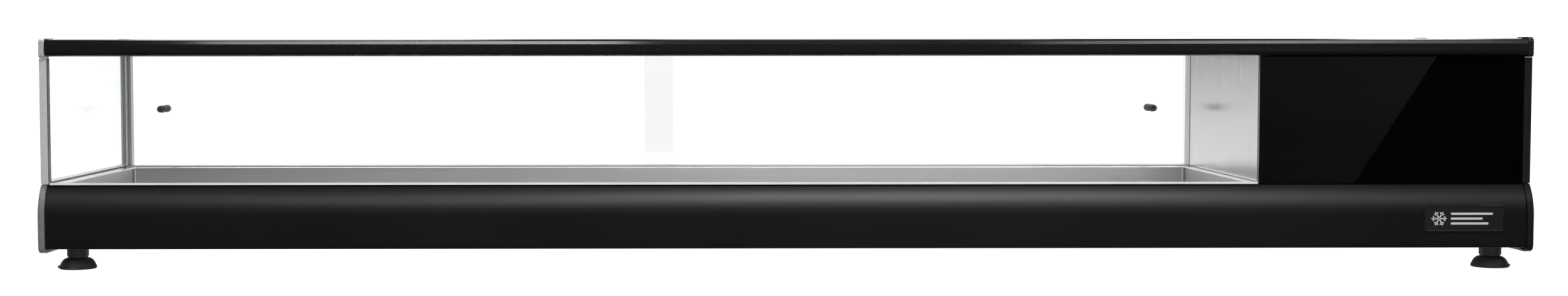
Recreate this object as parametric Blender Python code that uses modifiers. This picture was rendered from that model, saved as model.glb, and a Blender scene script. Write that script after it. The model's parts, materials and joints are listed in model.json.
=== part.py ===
"""Refrigerated countertop display case: stainless well, glass case, sliding rear doors, machine bay.

Metres, +Z up. The origin is on the table under the middle of the case. +X runs to the right seen
from the front, and the front faces -Y. The doors are on the operator's side, at +Y.
"""

import math

import bmesh
import bpy
from mathutils import Matrix, Vector

# ---- driving dimensions, in metres ----
LENGTH = 1.780  # over the end caps
DEPTH = 0.400  # end caps, front to rear
HEIGHT = 0.278  # table to the top of the corner caps
GAP = 0.0003  # between pieces that touch

# base
END_CAP_CLEAR = 0.022  # table to the end caps
END_CAP_T = 0.009
END_CAP_TOP = 0.1033
END_CAP_TOE = 0.009  # how far the cap's toe runs in under the fascia
END_CAP_EASE = 0.0035  # rounding of its outer edge
TOE_SETBACK = 0.012
FASCIA_CLEAR = 0.027
FASCIA_TOP = 0.1025
FASCIA_T = 0.002
FASCIA_SETBACK = 0.0025
FASCIA_BULGE = 0.013
FASCIA_FLAT_TOP = 0.066  # above this the face leans back in an arc
FASCIA_LIP = 0.0045
FASCIA_FOOT = 0.010  # the flange along its lower edge
APRON_T = 0.0012
APRON_SETBACK = 0.004
SHEET = 0.0012
PAN_Z = 0.030
PAN_LIP = 0.030

# well
LINER_TOP = 0.1048
LINER_T = 0.0012
WELL_DEPTH = 0.050
LEDGE_LEFT = 0.0160
LEDGE_RIGHT = 0.0115
LEDGE_FRONT = 0.0095
LEDGE_REAR = 0.0177
FOAM_FLOOR = 0.0118  # foam left under the coil pocket
COIL_R = 0.004
COIL_PASSES = 6
COIL_MARGIN = 0.040  # front and rear passes from the well's walls
COIL_END = 0.018  # return bends from the well's ends
COIL_TAIL = 0.022

# glass case
FRAME_INSET = 0.0025  # side frame behind the end cap's outer face
FRAME_W = 0.009
FRAME_DROP = 0.004  # side frame below the corner caps' top
FRAME_SILL = 0.0024
FRAME_BAR = 0.012  # top bar and rear post
FRAME_CORNER = 0.004
POST_SETBACK = 0.0105
POST_D = 0.011
GLASS = 0.004
RAIL_SETBACK = 0.001
RAIL_D = 0.019
RAIL_H = 0.020
RAIL_DROP = 0.002
RAIL_NOSE = 0.0065
RAIL_GROOVE = 0.0009
FRONT_CAP_SHY = 0.0024  # side frame's outer face to the front caps
REAR_CAP_PROUD = 0.0005
CAP_H = 0.024
CAP_LIP = 0.006
REAR_CAP_LAP = 0.0025  # how far it reaches in past the side frame
REAR_CAP_D = 0.020

# doors and their tracks
DOOR_SETBACK = 0.060  # rear of the base to the tracks' inner edge
TRACK_D = 0.026
TRACK_WALL = 0.0039
GROOVE = 0.0052
SILL_TOP = 0.1060
SILL_H = 0.0115
SILL_FLOOR = 0.0035
HEAD_H = 0.0127
HEAD_ROOF = 0.0017
DOOR_OVERLAP = 0.0375
DOOR_PLAY = 0.0005
HEAD_PLAY = 0.003
JAMB_W = 0.0049
KNOB_INSET = 0.042
KNOB_RISE = 0.001  # above the door's middle
KNOB_R = 0.0050
KNOB_L = 0.0345
KNOB_HEAD_R = 0.0045
KNOB_HEAD_T = 0.0037
KNOB_SHANK_R = 0.0025
KNOB_HOLE_R = 0.0032

# machine bay
BAY_W = 0.3148  # bulkhead to the right side frame
BULKHEAD_FLANGE = 0.012
PANEL_FACE = 0.006  # service panel's face in front of the tracks' rear edge
PANEL_FLANGE = 0.012
COMPRESSOR_R = 0.062
COMPRESSOR_H = 0.158
COMPRESSOR_LEG = 0.010
COMPRESSOR_Y = 0.030
CONDENSER = Vector((0.040, 0.190, 0.165))
CONDENSER_TO_FRAME = 0.020
CONDENSER_SLOTS = 9
CONDENSER_END = 0.012
SHROUD_D = 0.018
FAN_R = 0.070
FAN_CLEAR = 0.004
FAN_BLADES = 5
BLADE_CHORD = 0.026
BLADE_T = 0.002
BLADE_PITCH = math.radians(30)
CONDENSER_LIFT = 0.021
MOTOR_R = 0.028
MOTOR_L = 0.040
MOTOR_GAP = 0.0005
HUB_R = 0.020
DRIER_R = 0.011
DRIER_L = 0.090
LINE_R = 0.003
LOUVRE_H = 0.004
LOUVRE_PITCH = 0.011
LOUVRE_MARGIN = 0.020
SIDE_LOUVRE_L = 0.080
SIDE_LOUVRE_Y = 0.050
REAR_LOUVRE_L = 0.070
REAR_LOUVRES_FROM_BULKHEAD = (0.060, 0.150)
LED_D = 0.012
LED_H = 0.007

# controls
CONTROLS_DROP = 0.052  # below the top track
THERMOSTAT = Vector((0.077, 0.0037, 0.035))
THERMOSTAT_BODY = Vector((0.070, 0.048, 0.028))
THERMOSTAT_FROM_BULKHEAD = 0.130
DISPLAY = Vector((0.034, 0.0012, 0.017))
DISPLAY_OFF = -0.014
BUTTON = Vector((0.0075, 0.0032, 0.0055))
BUTTON_TRAVEL = 0.0006
BUTTON_CLEAR = 0.0004
SWITCH = Vector((0.052, 0.0027, 0.028))
SWITCH_BODY = Vector((0.044, 0.025, 0.022))
SWITCH_FROM_BULKHEAD = 0.215
ROCKER_W = 0.0155
ROCKER_HALF = 0.0085
ROCKER_TILT = math.radians(8)
ROCKER_CLEAR = 0.001
GLAND_R = 0.0075
GLAND_FROM_FRAME = 0.035
GLAND_Z = 0.130

# plate and feet
PLATE_W = 0.0958
PLATE_H = 0.0328
PLATE_T = 0.0016
PLATE_Z = 0.0620
PLATE_FROM_END = 0.0842
FOOT_FROM_END = 0.035
FOOT_FROM_FACE = 0.045
CUP_R = 0.022
CUP_H = 0.013
STEM_R = 0.013
STEM_SPIGOT = 0.006
RIM_W = 0.005

# ---- levels and lines that follow ----
END_X = LENGTH / 2
FRONT_Y = -DEPTH / 2
REAR_Y = DEPTH / 2
CAP_IN = END_X - END_CAP_T
FRAME_OUT = END_X - FRAME_INSET
FRAME_IN = FRAME_OUT - FRAME_W
FRAME_BASE = END_CAP_TOP + GAP
FRAME_TOP = HEIGHT - FRAME_DROP
CASE_X = FRAME_IN - GAP  # what stands between the side frames ends here
CAP_FACE = CASE_X  # where the front rail meets the corner caps
BULKHEAD_X = FRAME_IN - BAY_W
POST_FRONT = FRONT_Y + POST_SETBACK
POST_BACK = POST_FRONT + POST_D
DOOR_LINE = REAR_Y - DOOR_SETBACK
TRACK_REAR = DOOR_LINE + TRACK_D
RAIL_TOP = HEIGHT - RAIL_DROP
RAIL_BASE = RAIL_TOP - RAIL_H
RAIL_FRONT = FRONT_Y + RAIL_SETBACK
RAIL_BACK = RAIL_FRONT + RAIL_D
TOP_GLASS_BASE = FRAME_TOP - GLASS
HEAD_TOP = TOP_GLASS_BASE - GAP
HEAD_BASE = HEAD_TOP - HEAD_H
GLASS_FRONT = POST_FRONT + 0.003
GLASS_BACK = GLASS_FRONT + GLASS
INNER_DOOR_Y = DOOR_LINE + TRACK_WALL + GROOVE / 2
OUTER_DOOR_Y = TRACK_REAR - TRACK_WALL - GROOVE / 2
JAMB_LEFT = -CASE_X + JAMB_W
JAMB_RIGHT = BULKHEAD_X - 0.0032
DOOR_LOW = SILL_TOP - SILL_H + SILL_FLOOR + DOOR_PLAY
DOOR_HIGH = HEAD_TOP - HEAD_ROOF - HEAD_PLAY
KNOB_Z = (DOOR_LOW + DOOR_HIGH) / 2 + KNOB_RISE
DOOR_W = (JAMB_RIGHT - JAMB_LEFT - 2 * DOOR_PLAY + DOOR_OVERLAP) / 2
PANEL_Y = TRACK_REAR - PANEL_FACE
CONTROLS_Z = HEAD_BASE - CONTROLS_DROP
FAN_Z = PAN_Z + SHEET + CONDENSER_LIFT + CONDENSER.z / 2
MOTOR_END = FRAME_IN - CONDENSER_TO_FRAME - CONDENSER.x - GAP - SHROUD_D - MOTOR_GAP
WELL_LOW = Vector((-CASE_X + LEDGE_LEFT, GLASS_FRONT - 0.001 + LEDGE_FRONT, LINER_TOP - WELL_DEPTH))
WELL_HIGH = Vector((BULKHEAD_X - GAP - LEDGE_RIGHT, DOOR_LINE - GAP - LEDGE_REAR, LINER_TOP))
FASCIA_FACE = FRONT_Y + FASCIA_SETBACK
FASCIA_BACK = FASCIA_FACE + FASCIA_BULGE + FASCIA_LIP

LEFT, RIGHT = -1, 1
SIDES = {"left": LEFT, "right": RIGHT}


# ---- scene, materials and shape helpers ----
def clear_scene():
    for obj in list(bpy.data.objects):
        bpy.data.objects.remove(obj, do_unlink=True)
    for name in ("display_case", "cutters"):
        bpy.context.scene.collection.children.link(bpy.data.collections.new(name))


def finish_of(name, color, roughness, metallic=0.0, alpha=1.0):
    """A Principled material in the piece's own colour."""
    made = bpy.data.materials.new(name)
    made.use_nodes = True
    shader = made.node_tree.nodes["Principled BSDF"]
    shader.inputs["Base Color"].default_value = (*color, 1.0)
    shader.inputs["Roughness"].default_value = roughness
    shader.inputs["Metallic"].default_value = metallic
    shader.inputs["Alpha"].default_value = alpha
    made.diffuse_color = (*color, alpha)
    return made


FINISHES = {
    "stainless": ((0.62, 0.62, 0.61), 0.30, 1.0),
    "galvanised": ((0.50, 0.52, 0.53), 0.45, 1.0),
    "aluminium": ((0.66, 0.66, 0.67), 0.35, 1.0),
    "satin_black": ((0.012, 0.012, 0.013), 0.38),
    "black_sheet": ((0.018, 0.018, 0.019), 0.45),
    "black_plastic": ((0.020, 0.020, 0.021), 0.50),
    "grey_casting": ((0.30, 0.30, 0.30), 0.42, 0.6),
    "clear_glass": ((0.90, 0.95, 0.93), 0.02, 0.0, 0.15),
    "black_glass": ((0.004, 0.004, 0.005), 0.04),
    "rubber": ((0.016, 0.016, 0.016), 0.80),
    "foam": ((0.72, 0.63, 0.40), 0.90),
    "copper": ((0.72, 0.36, 0.22), 0.30, 1.0),
    "compressor_paint": ((0.010, 0.010, 0.011), 0.35),
    "display_window": ((0.060, 0.006, 0.006), 0.10),
    "green_lens": ((0.020, 0.260, 0.060), 0.25),
    "lamp_diffuser": ((0.90, 0.90, 0.88), 0.50),
}


def placed(obj, finish, smooth=None):
    """Puts a finished object in the case's collection, with its own material."""
    for home in list(obj.users_collection):
        home.objects.unlink(obj)
    bpy.data.collections["display_case"].objects.link(obj)
    obj.data.materials.clear()
    obj.data.materials.append(finish_of(f"{obj.name}_{finish}", *FINISHES[finish]))
    if smooth is not None:
        obj.data.shade_smooth()
        obj.data.set_sharp_from_angle(angle=math.radians(smooth))
    return obj


def mesh_object(name, bm, location=(0.0, 0.0, 0.0)):
    mesh = bpy.data.meshes.new(name)
    bm.to_mesh(mesh)
    bm.free()
    obj = bpy.data.objects.new(name, mesh)
    obj.location = location
    bpy.context.scene.collection.objects.link(obj)
    return obj


def box(name, low, high, finish=None):
    """A box between two opposite corners, with its origin at its middle."""
    low = Vector(low)
    high = Vector(high)
    bm = bmesh.new()
    bmesh.ops.create_cube(bm, size=1.0)
    bmesh.ops.scale(bm, vec=high - low, verts=bm.verts)
    obj = mesh_object(name, bm, (low + high) / 2)
    return placed(obj, finish) if finish else obj


def slots(name, size, places):
    """Several equal boxes in one object, as a cutter."""
    bm = bmesh.new()
    for place in places:
        slot = bmesh.ops.create_cube(bm, size=1.0)["verts"]
        bmesh.ops.scale(bm, vec=size, verts=slot)
        bmesh.ops.translate(bm, vec=place, verts=slot)
    return mesh_object(name, bm)


def louvre_levels(base, top):
    """Heights of as many louvre slots as fit between two levels, with a margin at each end."""
    room = top - base - 2 * LOUVRE_MARGIN
    steps = int(room / LOUVRE_PITCH)
    lowest = (base + top - steps * LOUVRE_PITCH) / 2
    return [lowest + LOUVRE_PITCH * i for i in range(steps + 1)]


def cylinder(name, radius, low, high, axis, finish=None, sides=24):
    """A cylinder about a line parallel to a world axis, from low to high."""
    low = Vector(low)
    high = Vector(high)
    bm = bmesh.new()
    bmesh.ops.create_cone(
        bm, cap_ends=True, segments=sides, radius1=radius, radius2=radius, depth=(high - low).length
    )
    turn = {"X": (0, math.pi / 2, 0), "Y": (math.pi / 2, 0, 0), "Z": (0, 0, 0)}[axis]
    obj = mesh_object(name, bm, (low + high) / 2)
    obj.rotation_euler = turn
    return placed(obj, finish, 40) if finish else obj


def rounded(corners, steps=4):
    """The points of an outline given as (a, b, radius) corners, each radius turned into an arc."""
    points = []
    for i, (a, b, radius) in enumerate(corners):
        here = Vector((a, b))
        if not radius:
            points.append(here)
            continue
        back = (Vector(corners[i - 1][:2]) - here).normalized()
        on = (Vector(corners[(i + 1) % len(corners)][:2]) - here).normalized()
        half = back.angle(on) / 2
        centre = here + (back + on).normalized() * radius / math.sin(half)
        start = here + back * radius / math.tan(half) - centre
        end = here + on * radius / math.tan(half) - centre
        turn = start.angle_signed(end)
        for step in range(steps + 1):
            spoke = start.copy()
            spoke.rotate(Matrix.Rotation(-turn * step / steps, 2))
            points.append(centre + spoke)
    return points


def extruded(name, outlines, axis, low, high):
    """A curve object: outlines extruded along a world axis.

    Along X an outline's points are (y, z), along Y they are (x, z) and along Z (x, y).
    """
    curve = bpy.data.curves.new(name, "CURVE")
    curve.dimensions = "2D"
    curve.fill_mode = "BOTH"
    curve.extrude = (high - low) / 2
    for outline in outlines:
        spline = curve.splines.new("POLY")
        spline.points.add(len(outline) - 1)
        for point, (a, b) in zip(spline.points, outline):
            point.co = (a, b, 0.0, 1.0)
        spline.use_cyclic_u = True
    obj = bpy.data.objects.new(name, curve)
    middle = (low + high) / 2
    quarter = math.pi / 2
    obj.location = {"X": (middle, 0, 0), "Y": (0, middle, 0), "Z": (0, 0, middle)}[axis]
    obj.rotation_euler = {"X": (quarter, 0, quarter), "Y": (quarter, 0, 0), "Z": (0, 0, 0)}[axis]
    bpy.context.scene.collection.objects.link(obj)
    return obj


def as_mesh(obj):
    """A curve object made a mesh object in the same place, its caps welded to its sides."""
    bpy.context.view_layer.update()
    graph = bpy.context.evaluated_depsgraph_get()
    mesh = bpy.data.meshes.new_from_object(obj.evaluated_get(graph))
    bm = bmesh.new()
    bm.from_mesh(mesh)
    bmesh.ops.remove_doubles(bm, verts=bm.verts, dist=0.00001)
    bmesh.ops.recalc_face_normals(bm, faces=bm.faces)
    bm.to_mesh(mesh)
    bm.free()
    name = obj.name
    place = obj.matrix_world.copy()
    bpy.data.objects.remove(obj, do_unlink=True)
    made = bpy.data.objects.new(name, mesh)
    made.matrix_world = place
    bpy.context.scene.collection.objects.link(made)
    return made


def prism(name, outline, axis, low, high, finish, holes=(), smooth=30):
    """A solid of constant section."""
    return placed(as_mesh(extruded(name, [outline, *holes], axis, low, high)), finish, smooth)


def turned(name, profile, place, axis, finish, steps=24):
    """A turned solid. Its profile of (radius, height) runs down the outside, top to bottom."""
    mesh = bpy.data.meshes.new(name)
    edges = [(i, i + 1) for i in range(len(profile) - 1)]
    mesh.from_pydata([(radius, 0.0, height) for radius, height in profile], edges, [])
    obj = bpy.data.objects.new(name, mesh)
    obj.location = place
    quarter = math.pi / 2
    obj.rotation_euler = {"X": (0, quarter, 0), "Y": (-quarter, 0, 0), "Z": (0, 0, 0)}[axis]
    bpy.context.scene.collection.objects.link(obj)
    screw = obj.modifiers.new("turn", "SCREW")
    screw.angle = math.tau
    screw.steps = steps
    screw.render_steps = steps
    screw.use_merge_vertices = True
    screw.merge_threshold = 0.00005
    screw.use_smooth_shade = True
    return placed(obj, finish)


def tube(name, route, radius, finish, sides=2):
    """A round tube along a list of points."""
    curve = bpy.data.curves.new(name, "CURVE")
    curve.dimensions = "3D"
    curve.bevel_depth = radius
    curve.bevel_resolution = sides
    curve.use_fill_caps = True
    spline = curve.splines.new("POLY")
    spline.points.add(len(route) - 1)
    for point, place in zip(spline.points, route):
        point.co = (*place, 1.0)
    obj = bpy.data.objects.new(name, curve)
    bpy.context.scene.collection.objects.link(obj)
    return placed(obj, finish)


def hidden(obj):
    """Makes an object a cutter: left out of renders and drawn as wire."""
    for home in list(obj.users_collection):
        home.objects.unlink(obj)
    bpy.data.collections["cutters"].objects.link(obj)
    obj.hide_render = True
    obj.display_type = "WIRE"
    return obj


def boolean(obj, other, operation):
    step = obj.modifiers.new(other.name, "BOOLEAN")
    step.operation = operation
    step.solver = "EXACT"
    step.object = hidden(other)
    return obj


def cut(obj, other):
    return boolean(obj, other, "DIFFERENCE")


def join(obj, other):
    return boolean(obj, other, "UNION")


def eased(obj, width, segments=2, angle=60):
    """Rounds an object's sharp edges."""
    bevel = obj.modifiers.new("ease", "BEVEL")
    bevel.width = width
    bevel.segments = segments
    bevel.limit_method = "ANGLE"
    bevel.angle_limit = math.radians(angle)
    return obj


def fascia_arc(face, top, steps=6):
    """Points from the top of the bowed face down to where it turns flat, face being its front."""
    rise = top - FASCIA_FLAT_TOP
    radius = (rise * rise + FASCIA_BULGE * FASCIA_BULGE) / (2 * FASCIA_BULGE)
    lean = math.asin(rise / radius)
    points = []
    for step in range(steps + 1):
        angle = lean * (1 - step / steps)
        back = radius * (1 - math.cos(angle))
        points.append((face + back, FASCIA_FLAT_TOP + radius * math.sin(angle)))
    return points


# ---- base ----
def make_base_pan():
    half = CAP_IN - GAP
    front = FASCIA_FACE + FASCIA_T + 0.010
    rear = REAR_Y - APRON_SETBACK - APRON_T - 0.006
    outline = [
        (front, PAN_Z + PAN_LIP),
        (front, PAN_Z),
        (rear, PAN_Z),
        (rear, PAN_Z + PAN_LIP),
        (rear - SHEET, PAN_Z + PAN_LIP),
        (rear - SHEET, PAN_Z + SHEET),
        (front + SHEET, PAN_Z + SHEET),
        (front + SHEET, PAN_Z + PAN_LIP),
    ]
    prism("base_pan", outline, "X", -half, half, "galvanised")


def foam_box():
    """The foam's outer corners."""
    low = Vector((-CASE_X + 0.003, WELL_LOW.y - LEDGE_FRONT + 0.008, PAN_Z + SHEET + GAP))
    high = Vector((BULKHEAD_X - GAP, DOOR_LINE - 2 * GAP, LINER_TOP - LINER_T - 2 * GAP))
    return low, high


def coil_level():
    return PAN_Z + SHEET + GAP + FOAM_FLOOR + COIL_R + GAP


def make_foam():
    low, high = foam_box()
    skin = LINER_T + GAP
    tub_low = WELL_LOW - Vector((skin, skin, skin))
    tub_high = WELL_HIGH + Vector((skin, skin, 0.02))
    foam = box("insulation_foam", low, high, "foam")
    cut(foam, box("foam_tub_cutter", tub_low, tub_high))
    pocket_low = (tub_low.x + 0.010, tub_low.y + 0.010, coil_level() - COIL_R - GAP)
    pocket_high = (tub_high.x - 0.010, tub_high.y - 0.010, tub_low.z + 0.001)
    cut(foam, box("foam_coil_cutter", pocket_low, pocket_high))
    tail = COIL_MARGIN / 2
    tail_low = (tub_high.x - 0.015, tub_low.y + tail, coil_level() - COIL_R - GAP)
    tail_high = (high.x + 0.010, tub_low.y + tail + 0.050, tub_low.z + 0.0015)
    cut(foam, box("foam_tail_cutter", tail_low, tail_high))


def coil_rows():
    front = WELL_LOW.y + COIL_MARGIN
    rear = WELL_HIGH.y - COIL_MARGIN
    return [front + (rear - front) * i / (COIL_PASSES - 1) for i in range(COIL_PASSES)]


def coil_tail():
    """Where the coil's outlet ends, in the machine bay."""
    return Vector((BULKHEAD_X + COIL_TAIL, coil_rows()[0], coil_level()))


def make_evaporator_coil():
    rows = coil_rows()
    turn = (rows[1] - rows[0]) / 2
    left = WELL_LOW.x + COIL_END + turn
    right = WELL_HIGH.x - COIL_END - turn
    level = coil_level()
    route = [coil_tail(), Vector((right, rows[0], level))]
    for i, row in enumerate(rows[:-1]):
        end, way = (left, -1) if i % 2 == 0 else (right, 1)
        for step in range(7):
            angle = math.pi * step / 6
            across = end + way * turn * math.sin(angle)
            route.append(Vector((across, row + turn * (1 - math.cos(angle)), level)))
    last = right if COIL_PASSES % 2 == 0 else left
    route.append(Vector((last, rows[-1], level)))
    tube("evaporator_coil", route, COIL_R, "copper")


def make_well_liner():
    flange_low = (-CASE_X, GLASS_FRONT - 0.001, LINER_TOP - LINER_T)
    flange_high = (BULKHEAD_X - GAP, DOOR_LINE - GAP, LINER_TOP)
    liner = box("well_liner", flange_low, flange_high, "stainless")
    skin = Vector((LINER_T, LINER_T, LINER_T))
    tub_high = Vector((WELL_HIGH.x + LINER_T, WELL_HIGH.y + LINER_T, LINER_TOP - LINER_T / 2))
    join(liner, box("liner_tub", WELL_LOW - skin, tub_high))
    cut(liner, box("liner_well_cutter", WELL_LOW, WELL_HIGH + Vector((0, 0, 0.01))))


def make_fascia():
    outer = [(FASCIA_BACK, FASCIA_TOP), *fascia_arc(FASCIA_FACE, FASCIA_TOP)]
    outer.append((FASCIA_FACE, FASCIA_CLEAR))
    outer.append((FASCIA_FACE + FASCIA_FOOT, FASCIA_CLEAR))
    inner = [
        (FASCIA_FACE + FASCIA_FOOT, FASCIA_CLEAR + FASCIA_T),
        (FASCIA_FACE + FASCIA_T, FASCIA_CLEAR + FASCIA_T),
    ]
    inner += list(reversed(fascia_arc(FASCIA_FACE + FASCIA_T, FASCIA_TOP - FASCIA_T)))
    inner.append((FASCIA_BACK, FASCIA_TOP - FASCIA_T))
    prism("front_fascia", outer + inner, "X", GAP - CAP_IN, CAP_IN - GAP, "satin_black")


def make_rear_apron():
    face = REAR_Y - APRON_SETBACK
    front = TRACK_REAR + GAP
    top = SILL_TOP - 0.004
    outline = [
        (front, top),
        (face, top),
        (face, FASCIA_CLEAR),
        (face - APRON_T, FASCIA_CLEAR),
        (face - APRON_T, top - APRON_T),
        (front, top - APRON_T),
    ]
    prism("rear_apron", outline, "X", GAP - CAP_IN, CAP_IN - GAP, "stainless")


def end_cap_outline():
    arc = fascia_arc(FRONT_Y, END_CAP_TOP)
    foot = rounded(
        [
            (FRONT_Y, END_CAP_CLEAR, 0.008),
            (REAR_Y, END_CAP_CLEAR, 0.008),
            (REAR_Y, END_CAP_TOP, 0.006),
            (arc[0][0], END_CAP_TOP, 0.0),
        ],
        3,
    )
    return arc + foot[:-1]


def make_end_cap(side_name, side, finish):
    name = f"{side_name}_end_cap"
    low, high = sorted((side * CAP_IN, side * END_X))
    cap = as_mesh(extruded(name, [end_cap_outline()], "X", low, high))
    bm = bmesh.new()
    bm.from_mesh(cap.data)
    outer = side * (high - low) / 2
    rim = [e for e in bm.edges if all(abs(v.co.z - outer) < 1e-6 for v in e.verts) and not e.is_wire]
    rim = [e for e in rim if abs(e.calc_face_angle(0.0)) > 0.5]
    bmesh.ops.bevel(bm, geom=rim, offset=END_CAP_EASE, segments=3, profile=0.5, affect="EDGES")
    bm.to_mesh(cap.data)
    bm.free()
    toe_in = side * (CAP_IN - END_CAP_TOE)
    toe_out = side * (CAP_IN + 0.002)
    toe_top = FASCIA_CLEAR - GAP
    outline = [(toe_out, END_CAP_CLEAR + 0.001), (toe_out, toe_top), (toe_in, toe_top)]
    toe = extruded(f"{side_name}_toe", [outline], "Y", FRONT_Y + TOE_SETBACK, REAR_Y - TOE_SETBACK)
    join(cap, as_mesh(toe))
    placed(cap, finish, 35)


def make_nameplate():
    middle = END_X - PLATE_FROM_END
    half = PLATE_W / 2
    outline = rounded(
        [
            (middle - half, PLATE_Z - PLATE_H / 2, 0.003),
            (middle + half, PLATE_Z - PLATE_H / 2, 0.003),
            (middle + half, PLATE_Z + PLATE_H / 2, 0.003),
            (middle - half, PLATE_Z + PLATE_H / 2, 0.003),
        ]
    )
    back = FASCIA_FACE - GAP
    prism("nameplate", outline, "Y", back - PLATE_T, back, "black_plastic")


def make_feet():
    seat = PAN_Z - GAP
    stem = [
        (0.0, seat),
        (STEM_R, seat),
        (STEM_R, CUP_H + 0.004),
        (STEM_R - 0.002, CUP_H + GAP),
        (STEM_SPIGOT, CUP_H + GAP),
        (STEM_SPIGOT, CUP_H - 0.004),
        (0.0, CUP_H - 0.004),
    ]
    cup = [
        (0.0, CUP_H - 0.004 - GAP),
        (STEM_SPIGOT + GAP, CUP_H - 0.004 - GAP),
        (STEM_SPIGOT + GAP, CUP_H),
        (STEM_R + 0.001, CUP_H),
        (STEM_R + 0.0045, CUP_H - 0.0025),
        (CUP_R - 0.0015, 0.0045),
        (CUP_R, 0.0030),
        (CUP_R, 0.0),
        (CUP_R - RIM_W, 0.0),
        (CUP_R - RIM_W - 0.006, 0.0030),
        (0.0, 0.0040),
    ]
    for row_name, y in (("front", FRONT_Y + FOOT_FROM_FACE), ("rear", REAR_Y - FOOT_FROM_FACE)):
        for side_name, side in SIDES.items():
            place = (side * (END_X - FOOT_FROM_END), y, 0.0)
            turned(f"foot_stem_{row_name}_{side_name}", stem, place, "Z", "black_plastic", 20)
            turned(f"suction_cup_{row_name}_{side_name}", cup, place, "Z", "rubber", 20)


# ---- glass case ----
def side_frame_outline():
    """One outline: the front post stops under the corner cap, and the top bar starts behind it."""
    post_top = HEIGHT - CAP_H - GAP
    inner_rear = TRACK_REAR - FRAME_BAR
    inner_base = FRAME_BASE + FRAME_SILL
    return rounded(
        [
            (POST_FRONT, FRAME_BASE, 0.0),
            (TRACK_REAR, FRAME_BASE, 0.0),
            (TRACK_REAR, FRAME_TOP, 0.002),
            (POST_BACK, FRAME_TOP, 0.0),
            (POST_BACK, FRAME_TOP - FRAME_BAR, 0.0),
            (inner_rear, FRAME_TOP - FRAME_BAR, FRAME_CORNER),
            (inner_rear, inner_base, FRAME_CORNER),
            (POST_BACK, inner_base, FRAME_CORNER),
            (POST_BACK, post_top, 0.0),
            (POST_FRONT, post_top, 0.0),
        ],
        3,
    )


def infill_outline(gap):
    """What fills a side frame, with a gap all round."""
    front = POST_BACK + gap
    rear = TRACK_REAR - FRAME_BAR - gap
    base = FRAME_BASE + FRAME_SILL + gap
    top = FRAME_TOP - FRAME_BAR - gap
    corner = FRAME_CORNER - gap
    corners = [(front, base, corner), (rear, base, corner), (rear, top, corner), (front, top, 0.0)]
    return rounded(corners, 3)


def make_side_frames():
    for side_name, side in SIDES.items():
        finish = "grey_casting" if side == LEFT else "satin_black"
        low, high = sorted((side * FRAME_IN, side * FRAME_OUT))
        prism(f"{side_name}_side_frame", side_frame_outline(), "X", low, high, finish)
    middle = -(FRAME_IN + FRAME_OUT) / 2
    glass = prism(
        "left_side_glass", infill_outline(GAP), "X", middle - GLASS / 2, middle + GLASS / 2, "clear_glass"
    )
    glass.data.materials[0].diffuse_color[3] = 0.15
    panel = prism("right_side_panel", infill_outline(GAP), "X", -middle - SHEET, -middle, "black_sheet")
    base = FRAME_BASE + FRAME_SILL
    top = FRAME_TOP - FRAME_BAR
    for column, y in enumerate((-SIDE_LOUVRE_Y, SIDE_LOUVRE_Y)):
        size = Vector((0.02, SIDE_LOUVRE_L, LOUVRE_H))
        levels = louvre_levels(base, top)
        places = [Vector((-middle, y, z)) for z in levels]
        cut(panel, slots(f"side_louvre_cutter_{column}", size, places))


def make_corner_caps():
    for side_name, side in SIDES.items():
        finish = "grey_casting" if side == LEFT else "satin_black"
        outer = side * (FRAME_OUT - FRONT_CAP_SHY)
        low_x, high_x = sorted((outer, side * CAP_FACE))
        outline = rounded(
            [
                (RAIL_FRONT, HEIGHT - CAP_H, 0.003),
                (POST_BACK - GAP, HEIGHT - CAP_H, 0.0),
                (POST_BACK - GAP, HEIGHT, 0.001),
                (RAIL_FRONT, HEIGHT, 0.004),
            ],
            3,
        )
        name = f"corner_cap_front_{side_name}"
        cap = as_mesh(extruded(name, [outline], "X", low_x, high_x))
        low_x, high_x = sorted((outer - side * 0.002, side * (CAP_FACE - CAP_LIP)))
        lip_low = (low_x, RAIL_FRONT + 0.003, RAIL_TOP + GAP)
        join(cap, box(f"cap_lip_{side_name}", lip_low, (high_x, POST_BACK - 0.002, HEIGHT - 0.0002)))
        placed(cap, finish, 35)
        rear_out = side * (FRAME_OUT + REAR_CAP_PROUD)
        low_x, high_x = sorted((rear_out, side * (FRAME_IN - REAR_CAP_LAP)))
        rear = TRACK_REAR + 0.002
        rear_cap = box(
            f"corner_cap_rear_{side_name}",
            (low_x, rear - REAR_CAP_D, FRAME_TOP + GAP),
            (high_x, rear, HEIGHT),
            finish,
        )
        eased(rear_cap, 0.001)


def make_front_rail():
    """Round-nosed rail with a fine groove under its top lip."""
    half = CAP_FACE - GAP
    groove = RAIL_TOP - 0.0030
    step = 0.0010
    outline = [
        (RAIL_BACK, RAIL_TOP),
        (RAIL_FRONT + 0.0030, RAIL_TOP),
        (RAIL_FRONT + 0.0020, RAIL_TOP - 0.0006),
        (RAIL_FRONT + 0.0016, groove),
        (RAIL_FRONT + 0.0016 + RAIL_GROOVE, groove),
        (RAIL_FRONT + 0.0016 + RAIL_GROOVE, groove - step),
        (RAIL_FRONT + 0.0014, groove - step),
    ]
    nose_top = groove - step - 0.0012
    nose_low = RAIL_BASE + RAIL_NOSE
    outline.append((RAIL_FRONT + 0.0003, nose_top))
    outline.append((RAIL_FRONT, nose_top - 0.0020))
    for i in range(5):
        angle = math.pi / 2 * i / 4
        across = RAIL_FRONT + RAIL_NOSE * (1 - math.cos(angle))
        outline.append((across, nose_low - RAIL_NOSE * math.sin(angle)))
    outline.append((RAIL_BACK, RAIL_BASE))
    prism("front_top_rail", outline, "X", -half, half, "satin_black", smooth=40)


def groove_lines():
    """The two grooves of a track, as pairs of front and rear edges."""
    return [(y - GROOVE / 2, y + GROOVE / 2) for y in (INNER_DOOR_Y, OUTER_DOOR_Y)]


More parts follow.
